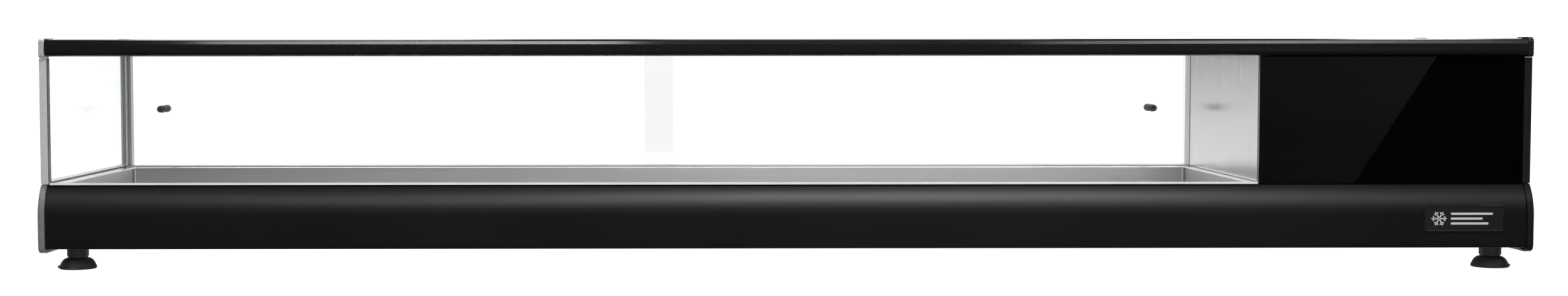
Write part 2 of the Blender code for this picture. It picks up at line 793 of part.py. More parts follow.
def track_outline(mouth, floor, back):
    """A two-groove track. The grooves open at mouth and end at floor, and back is the plain side."""
    outline = [(DOOR_LINE, back), (DOOR_LINE, mouth)]
    for front, rear in groove_lines():
        outline += [(front, mouth), (front, floor), (rear, floor), (rear, mouth)]
    return outline + [(TRACK_REAR, mouth), (TRACK_REAR, back)]


def make_tracks():
    sill_floor = SILL_TOP - SILL_H + SILL_FLOOR
    sill = track_outline(SILL_TOP, sill_floor, SILL_TOP - SILL_H)
    prism("rear_bottom_track", sill, "X", -CASE_X, CASE_X, "aluminium")
    head = track_outline(HEAD_BASE, HEAD_TOP - HEAD_ROOF, HEAD_TOP)
    prism("rear_top_track", head, "X", -CASE_X, CASE_X, "aluminium")


def make_jambs():
    base = SILL_TOP + GAP
    top = HEAD_BASE - GAP
    box("left_door_jamb", (-CASE_X, DOOR_LINE, base), (JAMB_LEFT, TRACK_REAR, top), "aluminium")
    right = (JAMB_RIGHT + JAMB_W, TRACK_REAR, top)
    box("right_door_jamb", (JAMB_RIGHT, DOOR_LINE, base), right, "aluminium")


def make_case_glass():
    glass_top = RAIL_BASE - GAP
    split = BULKHEAD_X - GAP
    front_low = (-CASE_X, GLASS_FRONT, LINER_TOP + GAP)
    box("front_glass", front_low, (split, GLASS_BACK, glass_top), "clear_glass")
    bay_low = (split + 2 * GAP, GLASS_FRONT, FASCIA_TOP + GAP)
    box("machine_front_glass", bay_low, (CASE_X, GLASS_BACK, glass_top), "black_glass")
    top_low = (-CASE_X, RAIL_BACK + GAP, TOP_GLASS_BASE)
    box("top_glass", top_low, (split, TRACK_REAR, FRAME_TOP), "clear_glass")


def make_machine_cover():
    cover = box(
        "machine_top_cover",
        (BULKHEAD_X + GAP, RAIL_BACK + GAP, TOP_GLASS_BASE),
        (CASE_X, TRACK_REAR, FRAME_TOP),
        "black_sheet",
    )
    cut(
        cover,
        box(
            "cover_cutter",
            (BULKHEAD_X + GAP + SHEET, RAIL_BACK + GAP + SHEET, TOP_GLASS_BASE - 0.01),
            (CASE_X - SHEET, TRACK_REAR - SHEET, FRAME_TOP - SHEET),
        ),
    )


def make_bulkhead():
    front = RAIL_BACK + GAP
    rear = DOOR_LINE - GAP
    far = BULKHEAD_X + BULKHEAD_FLANGE
    outline = [
        (BULKHEAD_X, front),
        (BULKHEAD_X, rear),
        (far, rear),
        (far, rear - SHEET),
        (BULKHEAD_X + SHEET, rear - SHEET),
        (BULKHEAD_X + SHEET, front + SHEET),
        (far, front + SHEET),
        (far, front),
    ]
    prism("bulkhead", outline, "Z", LINER_TOP + GAP, HEAD_TOP, "stainless")


def make_led_strip():
    front = RAIL_BACK + GAP + 0.001
    top = TOP_GLASS_BASE - 0.001
    outline = rounded(
        [
            (front, top, 0.0),
            (front, top - LED_H, 0.0),
            (front + LED_D, top - LED_H, 0.003),
            (front + LED_D, top, 0.0),
        ],
        3,
    )
    prism("led_strip", outline, "X", -CASE_X + 0.010, BULKHEAD_X - 0.010, "lamp_diffuser")


# ---- doors ----
def make_door(side_name, middle_x, y, knob_x):
    low = (middle_x - DOOR_W / 2, y - GLASS / 2, DOOR_LOW)
    high = (middle_x + DOOR_W / 2, y + GLASS / 2, DOOR_HIGH)
    glass = box(f"{side_name}_door_glass", low, high, "clear_glass")
    hole_low = (knob_x, low[1] - 0.002, KNOB_Z)
    hole_high = (knob_x, high[1] + 0.002, KNOB_Z)
    cut(glass, cylinder(f"{side_name}_door_hole", KNOB_HOLE_R, hole_low, hole_high, "Y", sides=16))
    head = [
        (0.0, GLASS + KNOB_HEAD_T),
        (KNOB_HEAD_R, GLASS + KNOB_HEAD_T),
        (KNOB_HEAD_R, GLASS + GAP),
        (KNOB_SHANK_R, GLASS + GAP),
        (KNOB_SHANK_R, 0.0),
        (0.0, 0.0),
    ]
    profile = [(radius, -height) for radius, height in reversed(head)]
    turned(f"{side_name}_door_screw", profile, (knob_x, high[1], KNOB_Z), "Y", "black_plastic", 16)
    knob = [
        (0.0, KNOB_L),
        (KNOB_R - 0.0012, KNOB_L),
        (KNOB_R, KNOB_L - 0.0012),
        (KNOB_R, KNOB_L * 0.62),
        (KNOB_R * 0.62, KNOB_L * 0.48),
        (KNOB_R * 0.62, KNOB_L * 0.18),
        (KNOB_R, KNOB_L * 0.10),
        (KNOB_R, GAP),
        (0.0, GAP),
    ]
    turned(f"{side_name}_door_knob", knob, (knob_x, high[1], KNOB_Z), "Y", "black_plastic", 16)


def make_doors():
    left_x = JAMB_LEFT + DOOR_PLAY
    right_x = JAMB_RIGHT - DOOR_PLAY
    make_door("left", left_x + DOOR_W / 2, INNER_DOOR_Y, left_x + KNOB_INSET)
    make_door("right", right_x - DOOR_W / 2, OUTER_DOOR_Y, right_x - KNOB_INSET)


# ---- machine bay ----
def bay_x(offset):
    return BULKHEAD_X + offset


def make_service_panel():
    face = PANEL_Y
    inner = face - PANEL_FLANGE
    base = SILL_TOP + GAP
    top = HEAD_BASE - GAP
    outline = [
        (face, base),
        (face, top),
        (inner, top),
        (inner, top - SHEET),
        (face - SHEET, top - SHEET),
        (face - SHEET, base + SHEET),
        (inner, base + SHEET),
        (inner, base),
    ]
    left = JAMB_RIGHT + JAMB_W + GAP
    panel = prism("rear_service_panel", outline, "X", left, CASE_X, "stainless")
    for name, size, offset in (
        ("thermostat", THERMOSTAT_BODY, THERMOSTAT_FROM_BULKHEAD),
        ("switch", SWITCH_BODY, SWITCH_FROM_BULKHEAD),
    ):
        half = Vector((size.x / 2 + GAP, 0.01, size.z / 2 + GAP))
        middle = Vector((bay_x(offset), face - SHEET / 2, CONTROLS_Z))
        cut(panel, box(f"{name}_cutout", middle - half, middle + half))
    gland_x = CASE_X - GLAND_FROM_FRAME
    hole_low = (gland_x, face - 0.005, GLAND_Z)
    hole_high = (gland_x, face + 0.005, GLAND_Z)
    cut(panel, cylinder("gland_hole", GLAND_R * 0.7 + GAP, hole_low, hole_high, "Y"))
    levels = louvre_levels(base, CONTROLS_Z - THERMOSTAT.z / 2)
    for column, offset in enumerate(REAR_LOUVRES_FROM_BULKHEAD):
        places = [Vector((bay_x(offset), face, z)) for z in levels]
        cut(panel, slots(f"panel_louvre_cutter_{column}", Vector((REAR_LOUVRE_L, 0.02, LOUVRE_H)), places))


def make_thermostat():
    middle = Vector((bay_x(THERMOSTAT_FROM_BULKHEAD), 0.0, CONTROLS_Z))
    back = PANEL_Y + GAP
    front = back + THERMOSTAT.y
    half = Vector((THERMOSTAT.x / 2, 0.0, THERMOSTAT.z / 2))
    body = box(
        "thermostat_body",
        (middle.x - half.x, back, middle.z - half.z),
        (middle.x + half.x, front, middle.z + half.z),
        "black_plastic",
    )
    inner = Vector((THERMOSTAT_BODY.x / 2, 0.0, THERMOSTAT_BODY.z / 2))
    core = box(
        "thermostat_core",
        (middle.x - inner.x, back - THERMOSTAT_BODY.y, middle.z - inner.z),
        (middle.x + inner.x, back + THERMOSTAT.y / 4, middle.z + inner.z),
    )
    join(body, core)
    show = Vector((middle.x + DISPLAY_OFF, 0.0, middle.z))
    window = DISPLAY / 2
    pocket_low = (show.x - window.x - GAP, front - DISPLAY.y, show.z - window.z - GAP)
    pocket_high = (show.x + window.x + GAP, front + 0.005, show.z + window.z + GAP)
    cut(body, box("display_pocket", pocket_low, pocket_high))
    window_low = (show.x - window.x, front - DISPLAY.y + GAP, show.z - window.z)
    box("thermostat_display", window_low, (show.x + window.x, front, show.z + window.z), "display_window")
    number = 0
    for column in (0.0135, 0.0260):
        for row in (0.0060, -0.0060):
            number += 1
            place = Vector((middle.x + column, 0.0, middle.z + row))
            half = BUTTON / 2
            room = BUTTON_CLEAR
            floor = front - BUTTON.y + 0.0010 - BUTTON_TRAVEL - 0.0002
            cut(
                body,
                box(
                    f"button_pocket_{number}",
                    (place.x - half.x - room, floor, place.z - half.z - room),
                    (place.x + half.x + room, front + 0.005, place.z + half.z + room),
                ),
            )
            key = box(
                f"thermostat_button_{number}",
                (place.x - half.x, front - BUTTON.y + 0.0010, place.z - half.z),
                (place.x + half.x, front + 0.0010, place.z + half.z),
                "black_plastic",
            )
            eased(key, 0.0005)


def rocker_places():
    middle = bay_x(SWITCH_FROM_BULKHEAD)
    offset = SWITCH_BODY.x / 4
    pivot_y = PANEL_Y + GAP + SWITCH.y - 0.0040
    return {
        "main_rocker": Vector((middle - offset, pivot_y, CONTROLS_Z)),
        "lamp_rocker": Vector((middle + offset, pivot_y, CONTROLS_Z)),
    }


def make_switches():
    middle = bay_x(SWITCH_FROM_BULKHEAD)
    back = PANEL_Y + GAP
    front = back + SWITCH.y
    housing = box(
        "switch_housing",
        (middle - SWITCH.x / 2, back, CONTROLS_Z - SWITCH.z / 2),
        (middle + SWITCH.x / 2, front, CONTROLS_Z + SWITCH.z / 2),
        "black_plastic",
    )
    core = box(
        "switch_core",
        (middle - SWITCH_BODY.x / 2, back - SWITCH_BODY.y, CONTROLS_Z - SWITCH_BODY.z / 2),
        (middle + SWITCH_BODY.x / 2, back + SWITCH.y / 3, CONTROLS_Z + SWITCH_BODY.z / 2),
    )
    join(housing, core)
    for name, pivot in rocker_places().items():
        half_x = ROCKER_W / 2 + 0.0005
        half_z = ROCKER_HALF + ROCKER_CLEAR
        cut(
            housing,
            box(
                f"{name}_pocket",
                (pivot.x - half_x, pivot.y - 0.0065, pivot.z - half_z),
                (pivot.x + half_x, front + 0.01, pivot.z + half_z),
            ),
        )
        outline = [
            (0.0048, ROCKER_HALF),
            (0.0036, 0.0),
            (0.0048, -ROCKER_HALF),
            (-0.0015, -ROCKER_HALF * 0.88),
            (-0.0045, 0.0),
            (-0.0015, ROCKER_HALF * 0.88),
        ]
        tilted = []
        for y, z in outline:
            spoke = Vector((y, z))
            spoke.rotate(Matrix.Rotation(ROCKER_TILT, 2))
            tilted.append(spoke)
        lens = "green_lens" if name == "main_rocker" else "black_plastic"
        rocker = as_mesh(extruded(name, [tilted], "X", -ROCKER_W / 2, ROCKER_W / 2))
        rocker.location = pivot
        placed(rocker, lens)


def make_gland():
    x = CASE_X - GLAND_FROM_FRAME
    bore = GLAND_R * 0.45
    shank = GLAND_R * 0.7
    profile = [
        (0.0, 0.006),
        (bore, 0.006),
        (bore, 0.020),
        (GLAND_R * 0.75, 0.020),
        (GLAND_R, 0.016),
        (GLAND_R, 0.008),
        (GLAND_R + 0.002, 0.008),
        (GLAND_R + 0.002, GAP),
        (shank, GAP),
        (shank, -0.012),
        (0.0, -0.012),
    ]
    turned("cable_gland", profile, (x, PANEL_Y, GLAND_Z), "Y", "black_plastic", 18)


def compressor_place():
    middle = (BULKHEAD_X + MOTOR_END - MOTOR_L) / 2
    return Vector((middle, COMPRESSOR_Y, PAN_Z + SHEET + GAP))


def make_compressor():
    r, h = COMPRESSOR_R, COMPRESSOR_H
    base = COMPRESSOR_LEG
    profile = [
        (0.0, base + h),
        (r * 0.45, base + h * 0.985),
        (r * 0.78, base + h * 0.92),
        (r * 0.95, base + h * 0.80),
        (r * 0.97, base + h * 0.56),
        (r, base + h * 0.55),
        (r, base + h * 0.51),
        (r * 0.97, base + h * 0.50),
        (r * 0.95, base + h * 0.18),
        (r * 0.80, base + h * 0.06),
        (r * 0.50, base),
        (0.0, base),
    ]
    place = compressor_place()
    can = turned("compressor", profile, place, "Z", "compressor_paint", 24)
    foot = 0.055
    legs = box(
        "compressor_plate",
        place + Vector((-foot - 0.012, -foot - 0.012, base - 0.003)),
        place + Vector((foot + 0.012, foot + 0.012, base + 0.003)),
    )
    join(can, legs)
    for i, (dx, dy) in enumerate(((-1, -1), (1, -1), (-1, 1), (1, 1))):
        spot = place + Vector((dx * foot, dy * foot, 0.0))
        join(can, cylinder(f"compressor_leg_{i}", 0.008, spot, spot + Vector((0, 0, base)), "Z", sides=12))


def drier_place():
    tail = coil_tail()
    return Vector((tail.x + COIL_TAIL, tail.y - DRIER_R - 0.001, tail.z + 0.012))


def make_lines():
    place = drier_place()
    end = DRIER_L
    profile = [
        (0.0, end),
        (LINE_R, end),
        (LINE_R, end - 0.012),
        (DRIER_R, end - 0.022),
        (DRIER_R, 0.022),
        (LINE_R, 0.012),
        (LINE_R, 0.0),
        (0.0, 0.0),
    ]
    turned("filter_drier", profile, place, "Z", "copper", 16)
    start = coil_tail() + Vector((GAP, 0.0, 0.0))
    can = compressor_place()
    side = Vector((can.x, can.y - COMPRESSOR_R - GAP, can.z + COMPRESSOR_LEG + COMPRESSOR_H * 0.53))
    route = [
        start,
        start + Vector((0.014, 0.0, 0.0)),
        start + Vector((0.020, 0.002, 0.006)),
        start + Vector((0.022, 0.010, 0.020)),
        Vector((start.x + 0.030, start.y + 0.022, side.z - 0.020)),
        Vector((start.x + 0.040, start.y + 0.026, side.z - 0.006)),
        Vector((side.x - 0.014, side.y - 0.030, side.z)),
        Vector((side.x - 0.004, side.y - 0.022, side.z)),
        Vector((side.x, side.y - 0.012, side.z)),
        side,
    ]
    tube("suction_line", route, LINE_R, "copper")


def condenser_low_x():
    return FRAME_IN - CONDENSER_TO_FRAME - CONDENSER.x


def make_condenser():
    x = condenser_low_x()
    low = Vector((x, -CONDENSER.y / 2, FAN_Z - CONDENSER.z / 2))
    high = low + CONDENSER
    core = box("condenser", low, high, "aluminium")
    pitch = CONDENSER.y / (CONDENSER_SLOTS + 1)
    size = Vector((CONDENSER.x, pitch * 0.45, CONDENSER.z - 2 * CONDENSER_END))
    middle = x + CONDENSER.x / 2 - CONDENSER_END
    places = [Vector((middle, low.y + pitch * (i + 1), FAN_Z)) for i in range(CONDENSER_SLOTS)]
    cut(core, slots("condenser_cutter", size, places))


def shroud_low_x():
    return condenser_low_x() - GAP - SHROUD_D


def make_fan():
    x = shroud_low_x()
    low = Vector((x, -CONDENSER.y / 2, FAN_Z - CONDENSER.z / 2))
    shroud = box("fan_shroud", low, low + Vector((SHROUD_D, CONDENSER.y, CONDENSER.z)), "black_sheet")
    hole_low = (x - 0.01, 0, FAN_Z)
    hole_high = (x + SHROUD_D + 0.01, 0, FAN_Z)
    cut(shroud, cylinder("fan_hole", FAN_R + FAN_CLEAR, hole_low, hole_high, "X", sides=32))
    motor_end = MOTOR_END
    motor = cylinder(
        "fan_motor", MOTOR_R, (motor_end - MOTOR_L, 0, FAN_Z), (motor_end, 0, FAN_Z), "X", "black_plastic"
    )
    arm = Vector((0.003, 0.007, CONDENSER.z / 2))
    middle = Vector((motor_end - 0.003, 0, FAN_Z))
    join(motor, box("motor_arm", middle - arm, middle + arm))
    hub_low = (x + 0.0005, 0, FAN_Z)
    hub_high = (x + SHROUD_D - 0.001, 0, FAN_Z)
    rotor = cylinder("fan_rotor", HUB_R, hub_low, hub_high, "X", "black_plastic")
    hub_mid = (Vector(hub_low) + Vector(hub_high)) / 2
    reach = FAN_R - HUB_R * 0.8
    for i in range(FAN_BLADES):
        bm = bmesh.new()
        bmesh.ops.create_cube(bm, size=1.0)
        bmesh.ops.scale(bm, vec=(BLADE_T, BLADE_CHORD, reach), verts=bm.verts)
        bmesh.ops.rotate(bm, matrix=Matrix.Rotation(BLADE_PITCH, 3, "Z"), verts=bm.verts)
        bmesh.ops.translate(bm, vec=(0, 0, HUB_R * 0.8 + reach / 2), verts=bm.verts)
        blade = mesh_object(f"fan_blade_{i}", bm, hub_mid)
        blade.rotation_euler = (math.tau * i / FAN_BLADES, 0, 0)
        join(rotor, blade)


def main():
    clear_scene()
    make_base_pan()
    make_foam()
    make_evaporator_coil()
    make_well_liner()
    make_fascia()
    make_rear_apron()
    make_end_cap("left", LEFT, "grey_casting")
    make_end_cap("right", RIGHT, "satin_black")
    make_nameplate()
    make_feet()
    make_side_frames()
    make_corner_caps()
    make_front_rail()
    make_tracks()
    make_jambs()
    make_case_glass()
    make_machine_cover()
    make_bulkhead()
    make_led_strip()
    make_doors()
    make_service_panel()
    make_thermostat()
    make_switches()
    make_gland()
    make_compressor()
    make_lines()
    make_condenser()
    make_fan()


main()
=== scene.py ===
"""The look of a refrigerated countertop display case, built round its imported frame.

Metres, +Z up, with the case's front towards -Y. Each piece is made where the frame's own node
stands and rides on that node's body.
"""

import json
import math

import bmesh
import bpy
from mathutils import Matrix, Vector

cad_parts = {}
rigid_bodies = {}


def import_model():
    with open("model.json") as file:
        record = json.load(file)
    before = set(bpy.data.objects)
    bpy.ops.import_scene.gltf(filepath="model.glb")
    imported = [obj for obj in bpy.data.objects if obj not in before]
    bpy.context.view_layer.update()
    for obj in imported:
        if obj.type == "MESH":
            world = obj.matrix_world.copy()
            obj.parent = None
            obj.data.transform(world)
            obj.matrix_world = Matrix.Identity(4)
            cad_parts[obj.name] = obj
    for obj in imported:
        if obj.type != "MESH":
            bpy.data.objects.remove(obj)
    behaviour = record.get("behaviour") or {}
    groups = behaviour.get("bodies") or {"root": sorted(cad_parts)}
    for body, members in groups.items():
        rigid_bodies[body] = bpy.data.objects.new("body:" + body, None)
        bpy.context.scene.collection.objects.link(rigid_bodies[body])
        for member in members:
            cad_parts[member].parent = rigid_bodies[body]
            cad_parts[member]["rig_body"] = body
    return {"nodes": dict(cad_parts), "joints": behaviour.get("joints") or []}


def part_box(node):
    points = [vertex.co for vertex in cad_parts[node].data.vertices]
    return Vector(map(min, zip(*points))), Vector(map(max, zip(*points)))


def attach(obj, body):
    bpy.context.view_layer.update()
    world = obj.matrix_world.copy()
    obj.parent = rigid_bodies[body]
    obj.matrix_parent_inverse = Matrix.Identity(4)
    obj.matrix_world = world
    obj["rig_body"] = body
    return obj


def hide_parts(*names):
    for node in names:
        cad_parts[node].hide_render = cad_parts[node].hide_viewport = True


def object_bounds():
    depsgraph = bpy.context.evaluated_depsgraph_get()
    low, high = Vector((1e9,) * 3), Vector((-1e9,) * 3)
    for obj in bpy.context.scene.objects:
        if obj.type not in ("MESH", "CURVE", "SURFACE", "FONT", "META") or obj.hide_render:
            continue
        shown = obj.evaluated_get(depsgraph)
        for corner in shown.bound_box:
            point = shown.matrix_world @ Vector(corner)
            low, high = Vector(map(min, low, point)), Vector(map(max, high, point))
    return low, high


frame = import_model()
frame_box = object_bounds()

# ---- the view ----
CAMERA_PLACE = (-0.1239, -2.5650, 0.2685)
CAMERA_TILT = math.radians(90 - 2.938)
CAMERA_LEAN = math.radians(0.045)
CAMERA_TURN = math.radians(-0.272)
CAMERA_LENS = 45.889
CAMERA_SHIFT = 0.0586

# ---- sizes the frame's boxes don't give ----
FASCIA_FLAT = 0.066  # above this the fascia and the end caps lean back in an arc
FASCIA_BOW = 0.013
FASCIA_T = 0.002
FASCIA_FOOT = 0.010
FRAME_BAR = 0.012
FRAME_SILL = 0.0024
FRAME_CORNER = 0.004
POST_D = 0.011
LINER_T = 0.0012
LOUVRE_H = 0.004
TRACK_WALL = 0.0039
GROOVE = 0.0052
ROCKER_TILT = math.radians(8)
CLEAR = 0.0003
CROSS = math.tan(math.radians(15))  # half width to length of a cross recess

X, Y, Z = Vector((1, 0, 0)), Vector((0, 1, 0)), Vector((0, 0, 1))
SIDES = {"left": -1, "right": 1}


def make_camera():
    lens = bpy.data.cameras.new("camera")
    lens.sensor_width = 36
    lens.lens = CAMERA_LENS
    lens.shift_x = CAMERA_SHIFT
    camera = bpy.data.objects.new("camera", lens)
    camera.location = CAMERA_PLACE
    camera.rotation_euler = (CAMERA_TILT, CAMERA_LEAN, CAMERA_TURN)
    bpy.context.scene.collection.objects.link(camera)
    bpy.context.scene.camera = camera


# ---- shader maths ----
class Reading:
    """A socket whose value changes over a surface. Python's operators add its Math nodes."""

    def __init__(self, nodes, socket):
        self.nodes = nodes
        self.socket = socket

    def math(self, operation, first, second, use_clamp=False):
        settings = {"operation": operation, "use_clamp": use_clamp}
        return self.nodes.reading("ShaderNodeMath", settings, {0: first, 1: second})

    def __add__(self, other):
        return self.math("ADD", self, other)

    __radd__ = __add__

    def __sub__(self, other):
        return self.math("SUBTRACT", self, other)

    def __rsub__(self, other):
        return self.math("SUBTRACT", other, self)

    def __mul__(self, other):
        return self.math("MULTIPLY", self, other)

    __rmul__ = __mul__

    def __pow__(self, other):
        return self.math("POWER", self, other)

    def __gt__(self, other):
        return self.math("GREATER_THAN", self, other)

    def spread(self, low, high):
        """0 at low, 1 at high and held between them."""
        return self.math("MULTIPLY", self - low, 1 / (high - low), use_clamp=True)


class Nodes:
    """A node tree in the making."""

    def __init__(self, tree):
        self.tree = tree

    def feed(self, socket, value):
        if isinstance(value, Reading):
            self.tree.links.new(value.socket, socket)
        else:
            socket.default_value = value

    def node(self, kind, settings=None, sockets=None):
        """A node, with its settings made before its sockets get their values or links."""
        made = self.tree.nodes.new(kind)
        for name, value in (settings or {}).items():
            setattr(made, name, value)
        for name, value in (sockets or {}).items():
            self.feed(made.inputs[name], value)
        return made

    def reading(self, kind, settings=None, sockets=None, output=0):
        return Reading(self, self.node(kind, settings, sockets).outputs[output])

    def tint(self, amount, low, high):
        """A colour between two others."""
        sockets = {0: amount, 6: (*low, 1.0), 7: (*high, 1.0)}
        return self.reading("ShaderNodeMix", {"data_type": "RGBA"}, sockets, output=2)

    def shader_mix(self, amount, first, second):
        return self.reading("ShaderNodeMixShader", None, {0: amount, 1: first, 2: second})


class Finish(Nodes):
    """One material in the making."""

    def __init__(self, name, constants):
        self.material = bpy.data.materials.new(name)
        self.material.use_nodes = True
        super().__init__(self.material.node_tree)
        self.shader = self.tree.nodes["Principled BSDF"]
        self.give(constants)
        self.place = self.reading("ShaderNodeTexCoord", output="Object")

    def give(self, sockets):
        for name, value in sockets.items():
            self.feed(self.shader.inputs[name], value)

    def grain(self, scale, stretch=(1, 1, 1), detail=2.0):
        """Soft noise from about 0.3 to 0.7, with features about 1/scale metres across."""
        where = self.reading("ShaderNodeMapping", None, {"Vector": self.place, "Scale": stretch})
        sockets = {"Vector": where, "Scale": scale, "Detail": detail}
        return self.reading("ShaderNodeTexNoise", None, sockets)

    def cells(self, scale, output="Distance"):
        """Cells about 1/scale metres across: the distance from each one's seed, or its own colour."""
        sockets = {"Vector": self.place, "Scale": scale}
        return self.reading("ShaderNodeTexVoronoi", None, sockets, output)

    def dress(self, amount, low, high, roughness, height=None, strength=0.0, depth=0.0002):
        """Colour between two others, gloss, and a relief where a height is given."""
        self.give({"Base Color": self.tint(amount, low, high), "Roughness": roughness})
        if height is not None:
            sockets = {"Height": height, "Strength": strength, "Distance": depth}
            self.give({"Normal": self.reading("ShaderNodeBump", None, sockets, "Normal")})
        return self.material


def grey(tone, warmth=0.0):
    return (tone * (1 + warmth), tone, tone * (1 - warmth))


# ---- finishes ----
BRUSHED = {"X": (5, 900, 900), "Z": (900, 900, 5)}
METAL = {"Metallic": 1.0}


def brushed_steel(name, along, tone=0.62, roughness=0.28, depth=0.1, spread=0.0):
    """Stainless sheet with a brushed grain, a little hand-marked. Its gloss can spread across the grain."""
    f = Finish(name, {"Metallic": 1.0, "Anisotropic": spread, "Anisotropic Rotation": 0.25})
    streaks = f.grain(1, BRUSHED[along], 3)
    drift = f.grain(6)
    marks = f.grain(45).spread(0.55, 0.75)
    gloss = streaks * 0.14 + marks * 0.05 + (roughness - 0.07)
    dark, light = grey(tone * 0.82), grey(tone * 1.12, 0.005)
    return f.dress(streaks * 0.8 + drift * 0.2, dark, light, gloss, streaks, depth)


def drawn_aluminium(name, along="X", tone=0.66):
    """Anodised extrusion with its die lines."""
    f = Finish(name, METAL)
    lines = f.grain(1, tuple(v * 0.6 for v in BRUSHED[along]), 2)
    dark, light = grey(tone * 0.88), grey(tone * 1.06, -0.01)
    return f.dress(f.grain(30), dark, light, lines * 0.16 + 0.27, lines, 0.04)


def galvanised_sheet():
    """Zinc spangle: each crystal has its own tone and gloss."""
    f = Finish("galvanised_sheet", METAL)
    crystal = f.cells(70, "Color")
    frost = f.grain(500)
    mix = crystal * 0.7 + frost * 0.3
    return f.dress(mix, (0.36, 0.38, 0.39), (0.62, 0.64, 0.66), crystal * 0.22 + 0.32, frost, 0.08, 0.0003)


def satin_coat(name, tone, roughness, peel=0.10):
    """Baked powder coat: a fine orange peel, slow drifts of gloss and a few specks of dust."""
    f = Finish(name, {"Specular IOR Level": 0.5})
    skin = f.grain(850, detail=1)
    drift = f.grain(5)
    dust = f.grain(2400, detail=0).spread(0.74, 0.80)
    gloss = drift * 0.06 + dust * 0.2 + (roughness - 0.03)
    return f.dress(dust * 0.5 + drift * 0.3, grey(tone * 0.85), grey(tone * 1.9 + 0.004), gloss, skin, peel)


def moulded(name, tone, roughness, pebble=0.20, scale=1800):
    """Injection-moulded plastic with a spark-eroded texture."""
    f = Finish(name, {"Specular IOR Level": 0.45})
    skin = f.grain(scale, detail=3)
    flow = f.grain(18, (1, 1, 3))
    return f.dress(flow, grey(tone * 0.8), grey(tone * 1.25), skin * 0.16 + (roughness - 0.08), skin, pebble)


def grey_casting(name, dark, light):
    """Metallic-grey lacquer over a casting: fine flake, mottling and worn, brighter high spots."""
    f = Finish(name, {"Metallic": 0.3, "Coat Weight": 0.2, "Coat Roughness": 0.2})
    flake = f.cells(3200, "Color")
    mottle = f.grain(160, detail=4)
    wear = f.grain(40).spread(0.56, 0.70)
    mix = mottle * 0.7 + flake * 0.2 + wear * 0.25
    gloss = mottle * 0.22 + flake * 0.08 + 0.30
    return f.dress(mix, grey(dark), grey(light, 0.01), gloss, mottle, 0.25, 0.0003)


def clear_glass():
    """Sheet glass. Most light goes straight through; the rest is a clean reflection with a faint smear."""
    f = Finish("clear_glass", {"Base Color": (0.92, 0.96, 0.95, 1.0), "Metallic": 1.0})
    smear = f.grain(9).spread(0.50, 0.72)
    f.give({"Roughness": smear * 0.05 + 0.01})
    slant = f.reading("ShaderNodeLayerWeight", None, {"Blend": 0.5}, "Facing")
    through = f.reading("ShaderNodeBsdfTransparent", None, {"Color": (0.984, 0.986, 0.985, 1.0)})
    share = slant**5 * 0.22 + smear * 0.005 + 0.04
    out = f.tree.nodes["Material Output"].inputs["Surface"]
    f.feed(out, f.shader_mix(share, through, Reading(f, f.shader.outputs[0])))
    return f.material


def one_grain(name, constants, grain, low, high, change, gloss):
    """A finish whose colour and gloss both follow one grain."""
    f = Finish(name, constants)
    pattern = f.grain(*grain)
    return f.dress(pattern, low, high, pattern * change + gloss)


def black_glass():
    """Back-painted black glass with the faintest wipe marks."""
    f = Finish("black_glass", {"Specular IOR Level": 0.5})
    wipe = f.grain(3, (1, 2, 5)).spread(0.45, 0.75)
    return f.dress(wipe, grey(0.0008), grey(0.0022), wipe * 0.025 + 0.01)


def rubber(name, tone):
    """Moulded rubber: matt, with a pale bloom and dust in its pores."""
    f = Finish(name, {"Specular IOR Level": 0.35})
    pores = f.grain(2200, detail=3)
    bloom = f.grain(70).spread(0.48, 0.72)
    dark, light = grey(tone * 0.75), grey(tone * 1.9)
    return f.dress(bloom * 0.7 + pores * 0.2, dark, light, pores * 0.2 + 0.58, pores, 0.25, 0.0003)


def blown_foam():
    """Poured polyurethane: fine cells, a glossy skin in places, warm where it has aged."""
    f = Finish("blown_foam", {})
    gloss = 0.92 - f.grain(55).spread(0.5, 0.6) * 0.3
    return f.dress(f.grain(14), (0.60, 0.48, 0.24), (0.82, 0.74, 0.52), gloss, f.cells(520), 0.7, 0.001)


def copper_tube():
    """Drawn copper, tarnished in patches."""
    f = Finish("copper_tube", METAL)
    tarnish = f.grain(60, detail=5).spread(0.42, 0.66)
    drawn = f.grain(1400)
    gloss = tarnish * 0.25 + drawn * 0.1 + 0.18
    return f.dress(tarnish, (0.80, 0.40, 0.25), (0.30, 0.13, 0.08), gloss, drawn, 0.08)


def lit_lens(name, dark, bright, strength):
    """Coloured lens over a lamp: brighter in the middle of its ribs."""
    f = Finish(name, {"Emission Strength": strength, "Coat Weight": 0.6, "Coat Roughness": 0.08})
    ribs = f.grain(1, (2500, 60, 60), 1)
    f.give({"Emission Color": f.tint(ribs, dark, bright)})
    return f.dress(ribs, dark, bright, ribs * 0.1 + 0.16)


def window_plastic():
    """Smoked red display window with fine wipe scratches."""
    f = Finish("window_plastic", {"Coat Weight": 0.7, "Coat Roughness": 0.04})
    scratch = f.grain(1, (60, 60, 2500), 2).spread(0.58, 0.72)
    return f.dress(scratch, (0.030, 0.004, 0.004), (0.075, 0.016, 0.015), scratch * 0.2 + 0.06)


